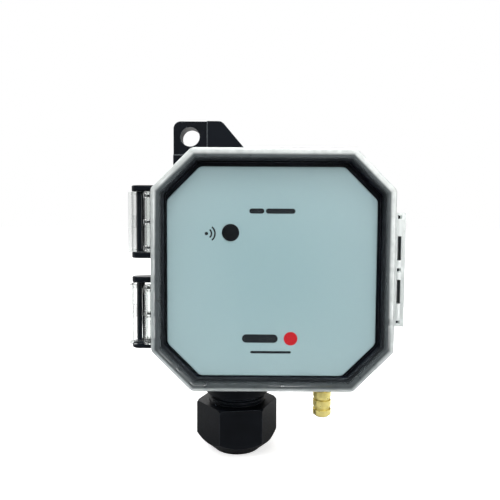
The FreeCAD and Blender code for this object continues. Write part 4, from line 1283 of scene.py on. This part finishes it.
@dataclass
class Studio:
    """The white surroundings and their lamps.

    Attributes:
        floor_level: The floor's height in metres.
        front_glow: The strength of the light from the dim room in front of the case.
        side_glow: The strength of the light from the bright walls beside and behind it.
        turn: Where the one becomes the other, as the Y of the direction looked in.
        reach: How far the floor reaches from the case in metres.
        paint_low: The floor's darker linear colour.
        paint_high: Its paler one.
        speck: The size of the floor's specks in millimetres.
        relief: Their depth in millimetres.
        lift: The light added to the floor where the camera sees it, also through plastic.
        dim: The stretch in millimetres along Y where the floor turns from dim to white in gloss.
        lamps: The softboxes.
    """

    floor_level: float
    front_glow: float = 0.012
    side_glow: float = 0.6
    turn: Span = Span(-0.85, -0.1)
    reach: float = 6.0
    paint_low: Colour = (0.80, 0.80, 0.80)
    paint_high: Colour = (0.83, 0.83, 0.83)
    speck: float = 6.0
    relief: float = 0.02
    lift: float = 0.66
    dim: Span = Span(-150.0, 50.0)
    lamps: tuple[Softbox, ...] = (
        Softbox("key", (-0.35, -0.85, 0.85), power=6.7, width=0.7, height=0.7),
        Softbox("fill", (0.60, -0.95, 0.30), power=4.2, width=0.6, height=0.9),
        Softbox("top", (0.05, -0.25, 1.0), power=11.5, width=0.8, height=0.5),
        Softbox("back", (-0.45, 0.95, 0.55), power=5.0, width=0.9, height=0.6),
    )

    def build(self) -> None:
        """Makes the world, floor and lamps."""
        scene = bpy.context.scene
        scene.view_settings.view_transform = "Standard"
        self.light_world(scene)
        self.lay_floor(self.floor_paint())
        for lamp in self.lamps:
            lamp.build()

    def light_world(self, scene: bpy.types.Scene) -> None:
        """Lights the scene from round the sides, and shows white behind it.

        Args:
            scene: The scene.
        """
        world = bpy.data.worlds.new("surround")
        scene.world = world
        world.use_nodes = True
        world.node_tree.nodes.clear()
        graph = NodeGraph(world.node_tree)
        away = graph.add("ShaderNodeSeparateXYZ", Vector=graph.place()).outputs["Y"]
        around = graph.ranged(away, self.front_glow, self.side_glow, self.turn)
        through = graph.ranged(away, self.front_glow, 1.0, self.turn)
        beyond = graph.chosen(graph.any_ray(Ray.TRANSMISSION), around, through)
        strength = graph.chosen(graph.any_ray(Ray.CAMERA), beyond, 1.0)
        light = graph.add("ShaderNodeBackground", Color=WHITE, Strength=strength)
        graph.add("ShaderNodeOutputWorld", Surface=light.outputs["Background"])

    def floor_paint(self) -> bpy.types.Material:
        """Makes a pale matt surface that shows as white but still takes a shadow.

        Gloss and clear plastic see it dim in front of the case, as they do the room there.

        Returns:
            The material.
        """
        material, graph = new_material("stage_white")
        speck = graph.noise(self.speck)
        matt = graph.add(
            "ShaderNodeBsdfDiffuse",
            Color=graph.mixed(speck, self.paint_low, self.paint_high),
            Normal=graph.bump(speck, self.relief),
        )
        seen = graph.any_ray(Ray.CAMERA, Ray.TRANSMISSION)
        glow = graph.add(
            "ShaderNodeEmission",
            Color=WHITE,
            Strength=graph.ranged(seen, 0.0, self.lift, Span(0.0, 1.0)),
        )
        both = graph.add("ShaderNodeAddShader")
        for socket, shader in zip(both.inputs, (matt.outputs["BSDF"], glow.outputs["Emission"])):
            graph.feed(socket, shader)
        _, y, _ = graph.position()
        bounced = graph.any_ray(Ray.GLOSSY, Ray.TRANSMISSION)
        share = graph.maths("MULTIPLY", bounced, graph.ranged(y, 1.0, 0.0, self.dim))
        dim = graph.add("ShaderNodeEmission", Color=WHITE, Strength=self.front_glow)
        white = both.outputs["Shader"]
        close_graph(graph, graph.blend_shaders(share, white, dim.outputs["Emission"]))
        return material

    def lay_floor(self, material: bpy.types.Material, steps: int = 9) -> None:
        """Lays out one large flat sheet under the case.

        Args:
            material: Its material.
            steps: The number of points along each side.
        """
        along = np.linspace(-self.reach, self.reach, steps)
        across, ahead = np.meshgrid(along, along)
        points = np.stack([across, ahead, np.full_like(across, self.floor_level)], axis=2)
        piece = object_from_grid("floor", points, False, False)
        piece.data.materials.append(material)


def corners(box: tuple[Vector, Vector]) -> list[list[float]]:
    """Writes a box's lowest and highest corner as plain lists."""
    return [[float(value) for value in corner] for corner in box]


def main() -> None:
    """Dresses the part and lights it."""
    logging.basicConfig(level=logging.INFO, format="%(message)s")
    paint = Paint()
    paint.build()
    paint.dress_nodes()
    LipGasket(paint).build()
    PanelPrint(paint).build()
    Studio(floor_level=CAD_BOX[0].z).build()
    Viewpoint().build()


if __name__ == "__main__":
    main()
